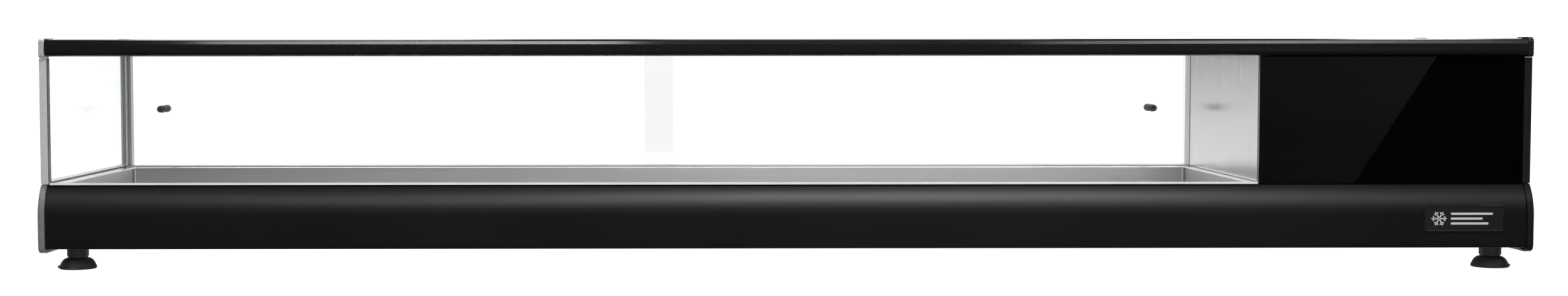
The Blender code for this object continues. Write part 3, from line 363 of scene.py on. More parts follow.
def make_finishes():
    glow = {"Emission Color": (1.0, 0.98, 0.95, 1.0), "Emission Strength": 0.15}
    ink = {"Specular IOR Level": 0.4}
    slick = {**ink, "Coat Weight": 0.3}
    pale, bright = (0.78, 0.79, 0.78), (0.90, 0.91, 0.90)
    bottle, lime = (0.36, 0.50, 0.46), (0.60, 0.74, 0.70)
    return {
        "steel_x": brushed_steel("steel_brushed_along", "X"),
        "steel_z": brushed_steel("steel_brushed_up", "Z", 0.80, 0.21),
        "steel_well": brushed_steel("steel_well", "X", 0.60, 0.40, 0.05, 0.82),
        # a brighter copy of the well's steel for its rim: painted highlight for the light the ledge catches
        "steel_rim": brushed_steel("steel_rim", "X", 0.92, 0.20, 0.02),
        "galvanised": galvanised_sheet(),
        "aluminium": drawn_aluminium("aluminium_along"),
        "aluminium_up": drawn_aluminium("aluminium_up", "Z"),
        "fascia": satin_coat("fascia_coat", 0.0050, 0.38),
        "rail": satin_coat("rail_coat", 0.0110, 0.12, 0.02),
        "right_trim": moulded("right_trim", 0.0110, 0.34, 0.06),
        "sheet": satin_coat("black_sheet_coat", 0.0160, 0.42, 0.16),
        "plastic": moulded("black_plastic", 0.0180, 0.46),
        "plate": moulded("plate_plastic", 0.0140, 0.30, 0.08, 2600),
        "stem": moulded("stem_plastic", 0.0420, 0.52, 0.16),
        "casting": grey_casting("grey_casting", 0.15, 0.38),
        "cap": grey_casting("cap_lacquer", 0.22, 0.94),
        "post": grey_casting("post_lacquer", 0.62, 0.78),
        "glass": clear_glass(),
        "edge": one_grain("glass_edge", {"Alpha": 0.38}, [700], bottle, lime, 0.2, 0.08),
        "black_glass": black_glass(),
        "rubber": rubber("rubber", 0.026),
        "seal": rubber("seal_rubber", 0.020),
        # dark rubber tone laid on the left frame's inner face as painted shade
        "painted_shade_finish": rubber("painted_shade_rubber", 0.075),
        "trim": moulded("pale_trim", 0.80, 0.30, 0.05),
        "foam": blown_foam(),
        "copper": copper_tube(),
        "fins": one_grain("fin_stock", METAL, (1, (400, 40, 8)), grey(0.52), grey(0.74), 0.2, 0.30),
        "enamel": satin_coat("compressor_enamel", 0.0080, 0.24, 0.22),
        "screw": one_grain("plated_screw", METAL, [900], (0.46, 0.46, 0.44), (0.70, 0.70, 0.67), 0.25, 0.18),
        "dark_screw": satin_coat("blackened_screw", 0.0400, 0.34, 0.05),
        "opal": one_grain("opal_cover", glow, [90], (0.80, 0.80, 0.78), (0.93, 0.93, 0.91), 0.15, 0.35),
        "window": window_plastic(),
        "digits": lit_lens("lit_digits", (0.70, 0.02, 0.01), (1.0, 0.05, 0.03), 1.6),
        "green": lit_lens("green_lens", (0.01, 0.20, 0.04), (0.03, 0.42, 0.10), 0.35),
        "ink": one_grain("white_ink", ink, [1600], grey(0.56), grey(0.70), 0.2, 0.35),
        "silicone": one_grain("silicone", slick, [180], pale, bright, 0.3, 0.20),
    }


# ---- solids ----
def brick(low, high):
    low, high = Vector(low), Vector(high)
    bm = bmesh.new()
    bmesh.ops.create_cube(bm, size=1.0, matrix=Matrix.LocRotScale((low + high) / 2, None, high - low))
    return bm


def rounded(corners, steps=7):
    """An outline from (a, b, radius) corners, each radius turned into an arc."""
    points = []
    for i, (a, b, radius) in enumerate(corners):
        here = Vector((a, b))
        if not radius:
            points.append(here)
            continue
        back = (Vector(corners[i - 1][:2]) - here).normalized()
        on = (Vector(corners[(i + 1) % len(corners)][:2]) - here).normalized()
        half = back.angle(on) / 2
        centre = here + (back + on).normalized() * radius / math.sin(half)
        start = here + back * radius / math.tan(half) - centre
        end = here + on * radius / math.tan(half) - centre
        turn = start.angle_signed(end)
        for step in range(steps + 1):
            spoke = start.copy()
            spoke.rotate(Matrix.Rotation(-turn * step / steps, 2))
            points.append(centre + spoke)
    return points


def rectangle(a0, b0, a1, b1, radius, steps=6):
    return rounded([(a0, b0, radius), (a1, b0, radius), (a1, b1, radius), (a0, b1, radius)], steps)


def circle(radius, steps=32):
    turns = [math.tau * i / steps for i in range(steps)]
    return [Vector((radius * math.cos(t), radius * math.sin(t))) for t in turns]


def round_about(count):
    """Turns about Z, evenly spaced."""
    return [Matrix.Rotation(math.tau * i / count, 4, "Z") for i in range(count)]


def mm(*numbers):
    """Points in metres from a flat run of pairs in millimetres."""
    return [(a / 1000, b / 1000) for a, b in zip(numbers[::2], numbers[1::2])]


def quarter(steps):
    """Angles through a quarter turn."""
    return [math.pi / 2 * i / steps for i in range(steps + 1)]


def bow(face, top, steps=20):
    """Points down the bowed face, front at face, from its top to where it turns flat."""
    rise = top - FASCIA_FLAT
    radius = (rise * rise + FASCIA_BOW * FASCIA_BOW) / (2 * FASCIA_BOW)
    lean = math.asin(rise / radius)
    angles = [lean * (1 - step / steps) for step in range(steps + 1)]
    return [(face + radius * (1 - math.cos(a)), FASCIA_FLAT + radius * math.sin(a)) for a in angles]


def on_axis(axis, a, b, along):
    """A point on an outline, its section's plane standing across an axis."""
    return {"X": (along, a, b), "Y": (a, along, b), "Z": (a, b, along)}[axis]


def loft(rings, closed=False):
    """A skin through rings of points, which all have as many. Its ends are filled unless it is closed."""
    bm = bmesh.new()
    made = [[bm.verts.new(p) for p in ring] for ring in rings]
    count = len(made[0])
    pairs = list(zip(made, made[1:])) + ([(made[-1], made[0])] if closed else [])
    for first, second in pairs:
        for i in range(count):
            j = (i + 1) % count
            bm.faces.new((first[i], first[j], second[j], second[i]))
    if not closed:
        bm.faces.new(made[0])
        bm.faces.new(made[-1])
    bmesh.ops.recalc_face_normals(bm, faces=bm.faces)
    return bm


def prism(outline, axis, low, high):
    return loft([[on_axis(axis, a, b, along) for a, b in outline] for along in (low, high)])


def turned(profile, steps=48):
    """A solid turned about Z from a profile of (radius, height). A radius of 0 closes an end."""
    bm = bmesh.new()
    rings = []
    for radius, height in profile:
        if radius:
            ring = [bm.verts.new((a, b, height)) for a, b in circle(radius, steps)]
        else:
            ring = [bm.verts.new((0, 0, height))] * steps
        rings.append(ring)
    for first, second in zip(rings, rings[1:]):
        for i in range(steps):
            j = (i + 1) % steps
            corners = []
            for v in (first[i], first[j], second[j], second[i]):
                if v not in corners:
                    corners.append(v)
            bm.faces.new(corners)
    bmesh.ops.recalc_face_normals(bm, faces=bm.faces)
    return bm


def curved(points, spans=8):
    """A smooth line through points."""
    points = [Vector(p) for p in points]
    line = []
    ends = [points[0] * 2 - points[1], *points, points[-1] * 2 - points[-2]]
    for i in range(1, len(ends) - 2):
        p0, p1, p2, p3 = ends[i - 1 : i + 3]
        for t in [step / spans for step in range(spans)]:
            square = (2 * p0 - 5 * p1 + 4 * p2 - p3) * t * t
            cube = (3 * p1 - p0 - 3 * p2 + p3) * t * t * t
            line.append(0.5 * (2 * p1 + (p2 - p0) * t + square + cube))
    line.append(points[-1])
    return line


def pipe(route, radius, sides=16, closed=False):
    """A round bar along a line of points, closed on itself if asked."""
    route = [Vector(p) for p in route]
    count = len(route)
    rings = []
    side = None
    for i, here in enumerate(route):
        before = route[i - 1] if i or closed else here
        after = route[(i + 1) % count] if i < count - 1 or closed else here
        way = (after - before).normalized()
        side = way.orthogonal().normalized() if side is None else (side - way * side.dot(way)).normalized()
        up = way.cross(side)
        rings.append([here + (side * a + up * b) for a, b in circle(radius, sides)])
    return loft(rings, closed)


def soften(bm, width, segments=3, angle=40):
    """Rounds the edges sharper than an angle."""
    bm.normal_update()
    sharp = [e for e in bm.edges if len(e.link_faces) == 2 and e.calc_face_angle(0.0) > math.radians(angle)]
    bmesh.ops.bevel(bm, geom=sharp, offset=width, segments=segments, profile=0.5, affect="EDGES")
    return bm


def facing(direction, place=(0, 0, 0), turn=0.0):
    """Stands a solid made about +Z so that it faces a direction, at a place."""
    quarter = Vector(direction).to_track_quat("Z", "Y").to_matrix().to_4x4()
    return Matrix.Translation(place) @ quarter @ Matrix.Rotation(turn, 4, "Z")


def frame_solid(node):
    """A node's own solid, welded and with its flat faces whole again."""
    bm = bmesh.new()
    bm.from_mesh(frame["nodes"][node].data)
    bmesh.ops.remove_doubles(bm, verts=bm.verts, dist=0.000002)
    bmesh.ops.dissolve_limit(bm, angle_limit=math.radians(0.4), verts=bm.verts, edges=bm.edges)
    return bm


class Shape:
    """Solids gathered into one piece."""

    def __init__(self):
        self.bm = bmesh.new()

    def add(self, solid, at=None, ease=0.0, segments=3, finish=0):
        """Takes in a solid, eased and moved, with the finish of that number."""
        if ease:
            soften(solid, ease, segments)
        if at is not None:
            bmesh.ops.transform(solid, matrix=at, verts=solid.verts)
        for face in solid.faces:
            face.material_index = finish
        passed = bpy.data.meshes.new("passed")
        solid.to_mesh(passed)
        solid.free()
        self.bm.from_mesh(passed)
        bpy.data.meshes.remove(passed)
        return self

    def piece(self, name, finishes, slot, node=None, body="case", crease=32):
        """The finished piece. It stands for a node of the frame, or only rides with a body."""
        bmesh.ops.recalc_face_normals(self.bm, faces=self.bm.faces)
        mesh = bpy.data.meshes.new(name)
        self.bm.to_mesh(mesh)
        self.bm.free()
        obj = bpy.data.objects.new(name, mesh)
        bpy.context.scene.collection.objects.link(obj)
        for finish in finishes.split():
            mesh.materials.append(FINISH[finish])
        mesh.shade_smooth()
        mesh.set_sharp_from_angle(angle=math.radians(crease))
        even = obj.modifiers.new("even", "WEIGHTED_NORMAL")
        even.keep_sharp = True
        if node:
            body = frame["nodes"][node]["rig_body"]
            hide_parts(node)
        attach(obj, body)
        return obj


def eased_node(node, name, finish, slot, ease=0.0003, segments=2):
    """A piece in the shape of its node, with real, rounded edges."""
    return Shape().add(frame_solid(node), ease=ease, segments=segments).piece(name, finish, slot, node)


def star_ring(radius, arm, half_width, height, steps=24):
    """A ring in the shape of a cross-head recess, or round where arm is 0."""
    ring = []
    for i in range(steps):
        turn = math.tau * i / steps
        c, s = abs(math.cos(turn)), abs(math.sin(turn))
        reach = radius
        if arm:
            along = min(arm / max(c, 1e-6), half_width / max(s, 1e-6))
            across = min(arm / max(s, 1e-6), half_width / max(c, 1e-6))
            reach = max(along, across)
        ring.append((reach * math.cos(turn), reach * math.sin(turn), height))
    return ring


def star_rings(rows):
    return [star_ring(*row) for row in rows]


def cross_screw(radius, height=None):
    """A pan head with a cross recess, standing on Z = 0."""
    height = height or radius * 0.55
    arm = radius * 0.56
    width = arm * CROSS
    head = [(1, 0), (1, 0.35), (0.95, 0.62), (0.84, 0.84), (0.68, 0.96)]
    rings = star_rings([(radius * r, 0, 0, height * h) for r, h in head])
    return loft([*rings, *star_rings([(0, arm, width, height), (0, arm * 0.82, width * 0.8, height * 0.35)])])


def screws(name, places, direction, radius=0.0032, height=None, finish="screw", slot="stainless"):
    """A row of fixings as one piece."""
    shape = Shape()
    for i, place in enumerate(places):
        shape.add(cross_screw(radius, height), facing(direction, place, 0.7 * i))
    return shape.piece(name, finish, slot, crease=38)


# ---- base ----
def make_fascia():
    low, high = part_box("front_fascia")
    face, back = low.y, high.y
    outer = [(back, high.z), *bow(face, high.z)]
    foot = rounded([(face, low.z + 0.004, 0), (face, low.z, 0.0016), (face + FASCIA_FOOT, low.z, 0)], 5)
    inner = [
        (face + FASCIA_FOOT, low.z + FASCIA_T),
        (face + FASCIA_T, low.z + FASCIA_T),
        *reversed(bow(face + FASCIA_T, high.z - FASCIA_T)),
        (back, high.z - FASCIA_T),
    ]
    panel = prism([*outer, *foot, *inner], "X", low.x, high.x)
    Shape().add(panel, ease=0.0003, segments=2).piece("fascia_panel", "fascia", "satin_black", "front_fascia")


def end_cap_rings(side, low, high):
    """Rings from the cap's inner face, round its rim and up its crowned outer face."""
    arc = bow(low.y, high.z)
    corners = [(low.y, FASCIA_FLAT, 0), (low.y, low.z, 0.0085), (high.y, low.z, 0.0085)]
    corners.append((high.y, high.z, 0.006))
    outline = arc[:-1] + rounded([*corners, (*arc[0], 0)], 8)[:-1]
    thick = high.x - low.x
    crown = [(0.0, 0.0), (0.0, 0.60), (0.0003, 0.70), (0.0009, 0.79), (0.0019, 0.86)]
    crown += [(0.0034, 0.91), (0.0060, 0.945), (0.0105, 0.972), (0.0170, 0.992), (0.0260, 1.0)]
    rings = []
    for inset, level in crown:
        front, rear = low.y + inset * 0.5, high.y - inset * 0.5
        foot, top = low.z + inset * 0.12, high.z - inset
        wide = (rear - front) / (high.y - low.y)
        tall = (top - foot) / (high.z - low.z)
        across = side * (min(abs(low.x), abs(high.x)) + thick * level)
        rings.append([(across, front + (a - low.y) * wide, foot + (b - low.z) * tall) for a, b in outline])
    return rings


def make_end_cap(name, side, finish, slot):
    node = f"{name}_end_cap"
    low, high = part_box(node)
    toe = abs(frame_box[1].x) - 0.009
    face = Vector((toe if side > 0 else -abs(high.x if side > 0 else low.x), low.y, low.z))
    far = Vector((high.x if side > 0 else -toe, high.y, high.z))
    shape = Shape().add(loft(end_cap_rings(side, face, far)))
    base = low.z + 0.0009
    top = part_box("front_fascia")[0].z - CLEAR
    wedge = [(side * (toe + 0.003), base), (side * (toe + 0.003), top), (side * (toe - 0.0088), top)]
    shape.add(prism(wedge, "Y", low.y + 0.012, high.y - 0.012), ease=0.0003, segments=2)
    mark = Vector((side * (toe + 0.0036), low.y + 0.0006, 0.0635))
    size = Vector((0.0022, 0.0005, 0.0016))
    shape.add(brick(mark - size, mark + size), ease=0.0004)
    shape.piece(f"{name}_end_moulding", finish, slot, node, crease=40)
    places = [(side * (abs(frame_box[1].x) - 0.0012), y, 0.060) for y in (-0.135, 0.135)]
    fixing = "screw" if side < 0 else "dark_screw"
    screws(f"{name}_end_screws", places, (side, 0, 0), 0.0040, 0.0011, fixing)


def frost_star(radius, width):
    """A six-armed frost star as one flat outline for each bar."""
    bars = []
    for i in range(3):
        turn = Matrix.Rotation(math.pi * i / 3, 2)
        bar = rectangle(-radius, -width / 2, radius, width / 2, width * 0.4, 3)
        bars.append([turn @ Vector(p) for p in bar])
    for i in range(6):
        turn = Matrix.Rotation(math.pi * i / 3, 2)
        for way in (-1, 1):
            lean = Matrix.Rotation(way * math.radians(55), 2)
            barb = rectangle(0, -width / 2, radius * 0.36, width / 2, width * 0.4, 3)
            bars.append([turn @ (lean @ Vector(p) + Vector((radius * 0.58, 0))) for p in barb])
    return bars


def make_nameplate():
    low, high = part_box("nameplate")
    middle = (low + high) / 2
    half = (high - low) / 2
    steps = [(0.0, high.y), (0.0, low.y + 0.0013), (0.0010, low.y + 0.0001), (0.0012, low.y)]
    steps += [(0.0019, low.y), (0.0023, low.y + 0.0003), (0.0032, low.y + 0.0005)]
    rings = []
    for inset, level in steps:
        outline = rectangle(-half.x + inset, -half.z + inset, half.x - inset, half.z - inset, 0.0034 - inset)
        rings.append([(middle.x + a, level, middle.z + b) for a, b in outline])
    shape = Shape().add(loft(rings))
    ink = low.y + 0.0005
    for bar in frost_star(0.0092, 0.0015):
        outline = [(middle.x - 0.030 + a, middle.z + b) for a, b in bar]
        shape.add(prism(outline, "Y", ink - 0.00012, ink + 0.0002), finish=1)
    for row, reach in ((0.0058, 0.050), (0.0, 0.038), (-0.0058, 0.045)):
        start = middle.x - 0.016
        outline = rectangle(start, middle.z + row - 0.0013, start + reach, middle.z + row + 0.0013, 0.0011, 3)
        shape.add(prism(outline, "Y", ink - 0.00012, ink + 0.0002), finish=1)
    shape.piece("name_plate_blank", "plate ink", "black_plastic", "nameplate")


def make_foot(row, side_name, side):
    cup_node = f"suction_cup_{row}_{side_name}"
    stem_node = f"foot_stem_{row}_{side_name}"
    low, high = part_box(cup_node)
    centre = (low + high) / 2
    place = Matrix.Translation((centre.x, centre.y, 0.0))
    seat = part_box(stem_node)[1].z
    neck = [(0.0, seat), (0.0131, seat), (0.0131, seat - 0.0009), (0.0126, seat - 0.0015)]
    neck += mm(12.4, 20, 12.2, 15, 11.8, 13.6, 6, 13.3, 6, 9.2, 0, 9.2)
    shape = Shape().add(turned(neck), place)
    for turn in round_about(12):
        rib = brick((0.0118, -0.0006, 0.0152), (0.01295, 0.0006, seat - 0.0022))
        shape.add(rib, place @ turn, ease=0.0003, segments=2)
    shape.piece(f"foot_neck_{row}_{side_name}", "stem", "black_plastic", stem_node)
    bell = mm(0, 8.7, 6.3, 8.7, 6.3, 13, 12, 13, 14.6, 12.4, 17.1, 10.8, 19, 8.6, 20.4, 6, 21.2, 4, 21.9, 3.1)
    bell += mm(22, 2.2, 21.9, 0.6, 21.4, 0, 19.6, 0, 18, 1.1, 14, 3.2, 8.5, 4.4, 0, 4.8)
    shape = Shape().add(turned(bell), place)
    tab = prism(rectangle(0.0195, -0.0042, 0.0236, 0.0042, 0.0016, 5), "Z", 0.0004, 0.0036)
    turn = Matrix.Rotation(0.0 if side > 0 else math.pi, 4, "Z")
    shape.add(tab, place @ turn, ease=0.0005)
    shape.piece(f"sucker_{row}_{side_name}", "rubber", "rubber", cup_node)


def make_liner():
    """A pressed well with a rolled rim, rounded corners and a slight fall in its floor."""
    low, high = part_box("well_liner")
    well_low = Vector((low.x + 0.0160, low.y + 0.0095, low.z + LINER_T))
    well_high = Vector((high.x - 0.0115, high.y - 0.0177, high.z))

    def ring(inset, level, radius, a=well_low, b=well_high):
        outline = rectangle(a.x + inset, a.y + inset, b.x - inset, b.y - inset, radius, 8)
        return [(*point, level) for point in outline]

    floor = well_low.z
    radius = 0.003
    inside = [ring(-0.0009, high.z, 0.0039), ring(-0.0003, high.z - 0.0003, 0.0033)]
    inside.append(ring(0, high.z - 0.0009, radius))
    outside = [ring(-LINER_T, high.z - LINER_T, radius + LINER_T)]
    for turn in quarter(6):
        back, lift = 0.006 * (1 - math.cos(turn)), floor + 0.006 * (1 - math.sin(turn))
        inside.append(ring(back, lift, radius))
        outside.append(ring(back - LINER_T, lift - LINER_T * math.sin(turn), radius))
    inside.append(ring(0.030, floor + 0.0002, radius))
    outside.append(ring(0.030, floor + 0.0002 - LINER_T, radius))
    outside.reverse()
    flange = [ring(0, high.z - LINER_T, 0.002, low, high)]
    for turn in quarter(5):
        back = 0.0009 * (1 - math.cos(turn))
        flange.append(ring(back, high.z - 0.0009 * (1 - math.sin(turn)), 0.002 - back, low, high))
    shape = Shape()
    for skin in (loft([*flange, *inside]), loft([*outside, flange[0]])):
        ends = [f for f in skin.faces if len(f.verts) > 8]
        drop = [f for f in ends if abs(f.calc_center_median().z - high.z + LINER_T) < 0.001]
        bmesh.ops.delete(skin, geom=drop, context="FACES_ONLY")
        shape.add(skin)
    bmesh.ops.remove_doubles(shape.bm, verts=shape.bm.verts, dist=0.000005)
    # the rim's top faces take the brighter steel copy, a painted highlight on the ledge
    for face in shape.bm.faces:
        face.material_index = 1 if face.calc_center_median().z > high.z - LINER_T else 0
    shape.piece("pressed_well", "steel_well steel_rim", "stainless", "well_liner", crease=25)
    drain = Vector((well_low.x + 0.030, (well_low.y + well_high.y) / 2, floor))
    cup = mm(0, 0.2, 9, 0.2, 10, 1.2, 12.8, 1.6, 15, 1.2, 16, 0.2, 16, -0.2, 0, -0.2)
    strainer = Shape().add(turned(cup), Matrix.Translation(drain))
    for turn in round_about(8):
        slot = brick((0.0030, -0.0006, 0.0001), (0.0082, 0.0006, 0.0006))
        strainer.add(slot, Matrix.Translation(drain) @ turn, ease=0.0002, segments=2, finish=1)
    strainer.piece("drain_strainer", "steel_x seal", "stainless")


def make_base():
    make_fascia()
    make_end_cap("left", -1, "casting", "grey_casting")
    make_end_cap("right", 1, "right_trim", "black_casting")
    make_nameplate()
    for row in ("front", "rear"):
        for side_name, side in SIDES.items():
            make_foot(row, side_name, side)
    make_liner()
    eased_node("base_pan", "base_tray", "galvanised", "galvanised")
    eased_node("insulation_foam", "foam_block", "foam", "foam", 0.0015, 3)
    eased_node("rear_apron", "apron_panel", "steel_x", "stainless")
    low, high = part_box("rear_apron")
    spread = [low.x + 0.05 + (high.x - low.x - 0.10) * i / 5 for i in range(6)]
    screws("apron_screws", [(x, high.y - 0.0002, 0.036) for x in spread], (0, 1, 0), 0.0034)
    low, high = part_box("base_pan")
    rivets = Shape()
    for x in (low.x + 0.1, low.x + 0.6, low.x + 1.1, high.x - 0.1):
        for y in (low.y + 0.05, high.y - 0.05):
            head = turned(mm(0, -1.1, 1.6, -0.9, 2.6, -0.4, 3, 0.2, 0, 0.2), 20)
            rivets.add(head, Matrix.Translation((x, y, low.z)))
    rivets.piece("tray_rivets", "screw", "galvanised")
    coil = Shape().add(pipe(coil_line(), 0.0038, 14))
    coil.piece("cooling_coil", "copper", "copper", "evaporator_coil", crease=60)


def coil_line():
    """The coil's route: passes along the well joined by half-round bends."""
    low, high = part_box("evaporator_coil")
    liner_low, liner_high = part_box("well_liner")
    level = (low.z + high.z) / 2
    rows = [low.y + 0.004 + (high.y - low.y - 0.008) * i / 5 for i in range(6)]
    turn = (rows[1] - rows[0]) / 2
    left = low.x + 0.004 + turn
    right = liner_high.x - 0.0115 - 0.018 - turn
    route = [Vector((high.x, rows[0], level))]
    straight = 24
    for i, row in enumerate(rows):
        start, end = (right, left) if i % 2 == 0 else (left, right)
        route += [Vector((start + (end - start) * k / straight, row, level)) for k in range(straight + 1)]
        if i < len(rows) - 1:
            way = -1 if i % 2 == 0 else 1
            for step in range(1, 12):
                angle = math.pi * step / 12
                place = (end + way * turn * math.sin(angle), row + turn * (1 - math.cos(angle)), level)
                route.append(Vector(place))
    return route


# ---- glass case ----
def pane(node, name, across, ease=0.0005):
    """A pane with ground edges. Its faces across an axis stay clear, the rest shows the edge."""
    shape = Shape().add(frame_solid(node), ease=ease, segments=2)
    shape.bm.normal_update()
    for face in shape.bm.faces:
        face.material_index = 0 if abs(face.normal.dot(across)) > 0.9 else 1
    return shape.piece(name, "glass edge", "clear_glass", node)


def make_side_frame(name, side, finish, slot):
    node = f"{name}_side_frame"
    low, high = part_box(node)
    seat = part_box(f"corner_cap_front_{name}")[0].z - CLEAR
    post, rear = low.y + POST_D, high.y - FRAME_BAR
    sill, bar = low.z + FRAME_SILL, high.z - FRAME_BAR
    outer = [(low.y, low.z, 0), (high.y, low.z, 0), (high.y, high.z, 0.002), (post, high.z, 0)]
    inner = [(post, bar, 0), (rear, bar, FRAME_CORNER), (rear, sill, FRAME_CORNER)]
    inner += [(post, sill, FRAME_CORNER), (post, seat, 0)]
    outline = rounded([*outer, *inner, (low.y, seat, 0)], 7)
    shape = Shape().add(prism(outline, "X", low.x, high.x), ease=0.0009, segments=3)
    shape.piece(f"{name}_frame_casting", finish, slot, node, crease=40)
    # the dark strip on the left frame's inner face is painted shade
    if side < 0:
        make_painted_shade_strip(low, high, post)


def make_painted_shade_strip(low, high, post_back):
    """A thin dark strip on the frame's inner side, down the post and along the sill. It is painted shade
    standing in for the shaded inner face of the frame.
    """
    edge = low.y + 0.0008
    foot = low.z + 0.0006
    sill = low.z + FRAME_SILL
    far = high.y - FRAME_BAR - 0.0005
    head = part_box("corner_cap_front_left")[0].z - 0.0006
    corners = [(edge, foot, 0), (far, foot, 0), (far, sill, 0), (post_back, sill, FRAME_CORNER)]
    corners += [(post_back, head, 0), (edge, head, 0)]
    strip = prism(rounded(corners, 7), "X", high.x - 0.0004, high.x + 0.0002)
    Shape().add(strip).piece("left_frame_painted_shade", "painted_shade_finish", "rubber")


def bead_loop(corners, axis, level, radius):
    outline = rounded(corners, 6)
    return pipe([on_axis(axis, a, b, level) for a, b in outline], radius, 8, closed=True)


def make_side_infills():
    glass_low, glass_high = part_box("left_side_glass")
    pane("left_side_glass", "left_side_pane", X)
    shape = Shape()
    inset = 0.0006
    front, rear = glass_low.y + inset, glass_high.y - inset
    foot, top = glass_low.z + inset, glass_high.z - inset
    corners = [(front, foot, FRAME_CORNER), (rear, foot, FRAME_CORNER), (rear, top, FRAME_CORNER)]
    corners.append((front, top, 0.002))
    for level in (glass_low.x - 0.0006, glass_high.x + 0.0006):
        shape.add(bead_loop(corners, "X", level, 0.0009))
    shape.piece("left_glass_gasket", "silicone", "rubber", crease=60)
    louvred_panel("right_side_panel", "side_grille", "sheet", "black_sheet", 1, 0.0036)
    low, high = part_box("right_side_panel")
    across, up = (low.y + 0.012, high.y - 0.012), (low.z + 0.008, high.z - 0.008)
    places = [(high.x - 0.0002, y, z) for y in across for z in up]
    screws("side_grille_screws", places, (1, 0, 0), 0.0030, 0.0014, "dark_screw", "black_sheet")


def slot_places(node, across):
    """Middles and half length of a node's louvre slots, read from the levels of its corners."""
    points = [v.co for v in frame["nodes"][node].data.vertices]
    levels = sorted({round(p.z, 5) for p in points})
    middles = [(a + b) / 2 for a, b in zip(levels, levels[1:]) if abs(b - a - LOUVRE_H) < 0.0001]
    lowest = middles[0] - LOUVRE_H / 2
    ends = sorted({round(p[across], 5) for p in points if abs(p.z - lowest) < 0.0001})
    columns = [((a + b) / 2, (b - a) / 2) for a, b in zip(ends, ends[1:]) if 0.060 < b - a < 0.090]
    return middles, columns


def louvre_hood(half, reach, steps=14):
    """A pressed hood over a slot: bulged outwards, closed at its ends. It looks along +Z, its length on X."""
    drop = LOUVRE_H / 2 + 0.0006
    rise = LOUVRE_H / 2 + 0.0030
    thick = 0.0007
    rings = []
    for step in range(steps + 1):
        along = (half + 0.002) * (2 * step / steps - 1)
        near = min(1.0, (half + 0.002 - abs(along)) / 0.010)
        out = max(reach * math.sin(near * math.pi / 2), 0.0001)
        outer = []
        inner = []
        for turn in quarter(5):
            level = rise - (rise + drop) * math.sin(turn)
            outer.append((along, level, out * (1 - math.cos(turn))))
            inner.append((along, level - thick * 0.5, max(out * (1 - math.cos(turn)) - thick, -thick)))
        rings.append(outer + list(reversed(inner)))
    return loft(rings)


def louvred_panel(node, name, finish, slot, across, reach):
    """A panel facing +X or +Y, with a hood pressed over each of its slots."""
    middles, columns = slot_places(node, across)
    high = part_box(node)[1]
    shape = Shape().add(frame_solid(node), ease=0.0002, segments=2)
    for middle, half in columns:
        for level in middles:
            place = [high.x, high.y, level]
            place[across] = middle
            way = Y if across == 1 else -X
            out = X if across == 1 else Y
            stand = Matrix((way, Z, out)).transposed().to_4x4()
            shape.add(louvre_hood(half, reach), Matrix.Translation(place) @ stand)
    return shape.piece(name, finish, slot, node, crease=40)


def make_corner_caps():
    for name, side in SIDES.items():
        finish, slot = ("cap", "grey_casting") if side < 0 else ("right_trim", "black_casting")
        node = f"corner_cap_front_{name}"
        low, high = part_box(node)
        rail_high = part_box("front_top_rail")[1]
        inner, outer = sorted((abs(low.x), abs(high.x)))
        outline = [(low.y, low.z, 0.0035), (high.y, low.z, 0), (high.y, high.z, 0.001)]
        outline.append((low.y, high.z, 0.0062))
        ends = sorted((side * (abs(rail_high.x) + CLEAR), side * outer))
        shape = Shape().add(prism(rounded(outline, 8), "X", *ends), ease=0.0014, segments=4)
        front, back, foot, top = low.y + 0.0030, high.y - 0.002, rail_high.z + CLEAR, high.z - 0.0001
        lip = rounded([(front, foot, 0), (back, foot, 0), (back, top, 0.0006), (front, top, 0.0012)], 4)
        ends = sorted((side * inner, side * (outer - 0.003)))
        shape.add(prism(lip, "X", *ends), ease=0.0005)
        shape.piece(f"front_corner_{name}", finish, slot, node, crease=40)
        eased_node(f"corner_cap_rear_{name}", f"rear_corner_{name}", finish, slot, 0.0008, 3)


def rail_outline(low, high):
    """A slanting top lip, a fine groove, a chamfer that runs out into the face, and a round nose."""
    front, back, top = low.y, high.y, high.z
    sweep = 0.0162
    lean = math.radians(12.5)
    nose = 0.0065
    lip = rounded([(back, top, 0), (front + 0.0037, top, 0.0003), (front + 0.0023, top - 0.0012, 0)], 4)
    groove = [(front + 0.0032, top - 0.0012), (front + 0.0032, top - 0.0023)]
    chamfer = [(front + 0.00111, top - 0.0023)]
    run_out = [
        (front + sweep * (1 - math.cos(a)), top - 0.0091 + sweep * math.sin(a))
        for a in [lean * (1 - i / 8) for i in range(9)]
    ]
    round_nose = [
        (front + nose * (1 - math.cos(a)), low.z + nose - nose * math.sin(a))
        for a in quarter(12)
    ]
    return [*lip, *groove, *chamfer, *run_out, *round_nose, (back, low.z)]


def make_rail():
    low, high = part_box("front_top_rail")
    bar = prism(rail_outline(low, high), "X", low.x, high.x)
    Shape().add(bar).piece("top_rail_profile", "rail", "satin_black", "front_top_rail", crease=40)


def make_panes():
    pane("front_glass", "front_pane", Y)
    pane("top_glass", "top_pane", Z)
    shape = Shape().add(frame_solid("machine_front_glass"), ease=0.0004, segments=2)
    shape.piece("black_pane", "black_glass", "black_glass", "machine_front_glass")
    low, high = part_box("front_glass")
    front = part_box("well_liner")[0].y - 0.0001
    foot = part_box("front_fascia")[1].z + CLEAR
    top = low.z + 0.0002
    outline = rounded(
        [(front, foot, 0), (front, top, 0), (front - 0.0007, top, 0.0004), (front - 0.0009, foot, 0.0004)], 4
    )
    trim = Shape().add(prism(outline, "X", low.x + 0.001, high.x - 0.001))
    trim.piece("front_pane_trim", "trim", "rubber")


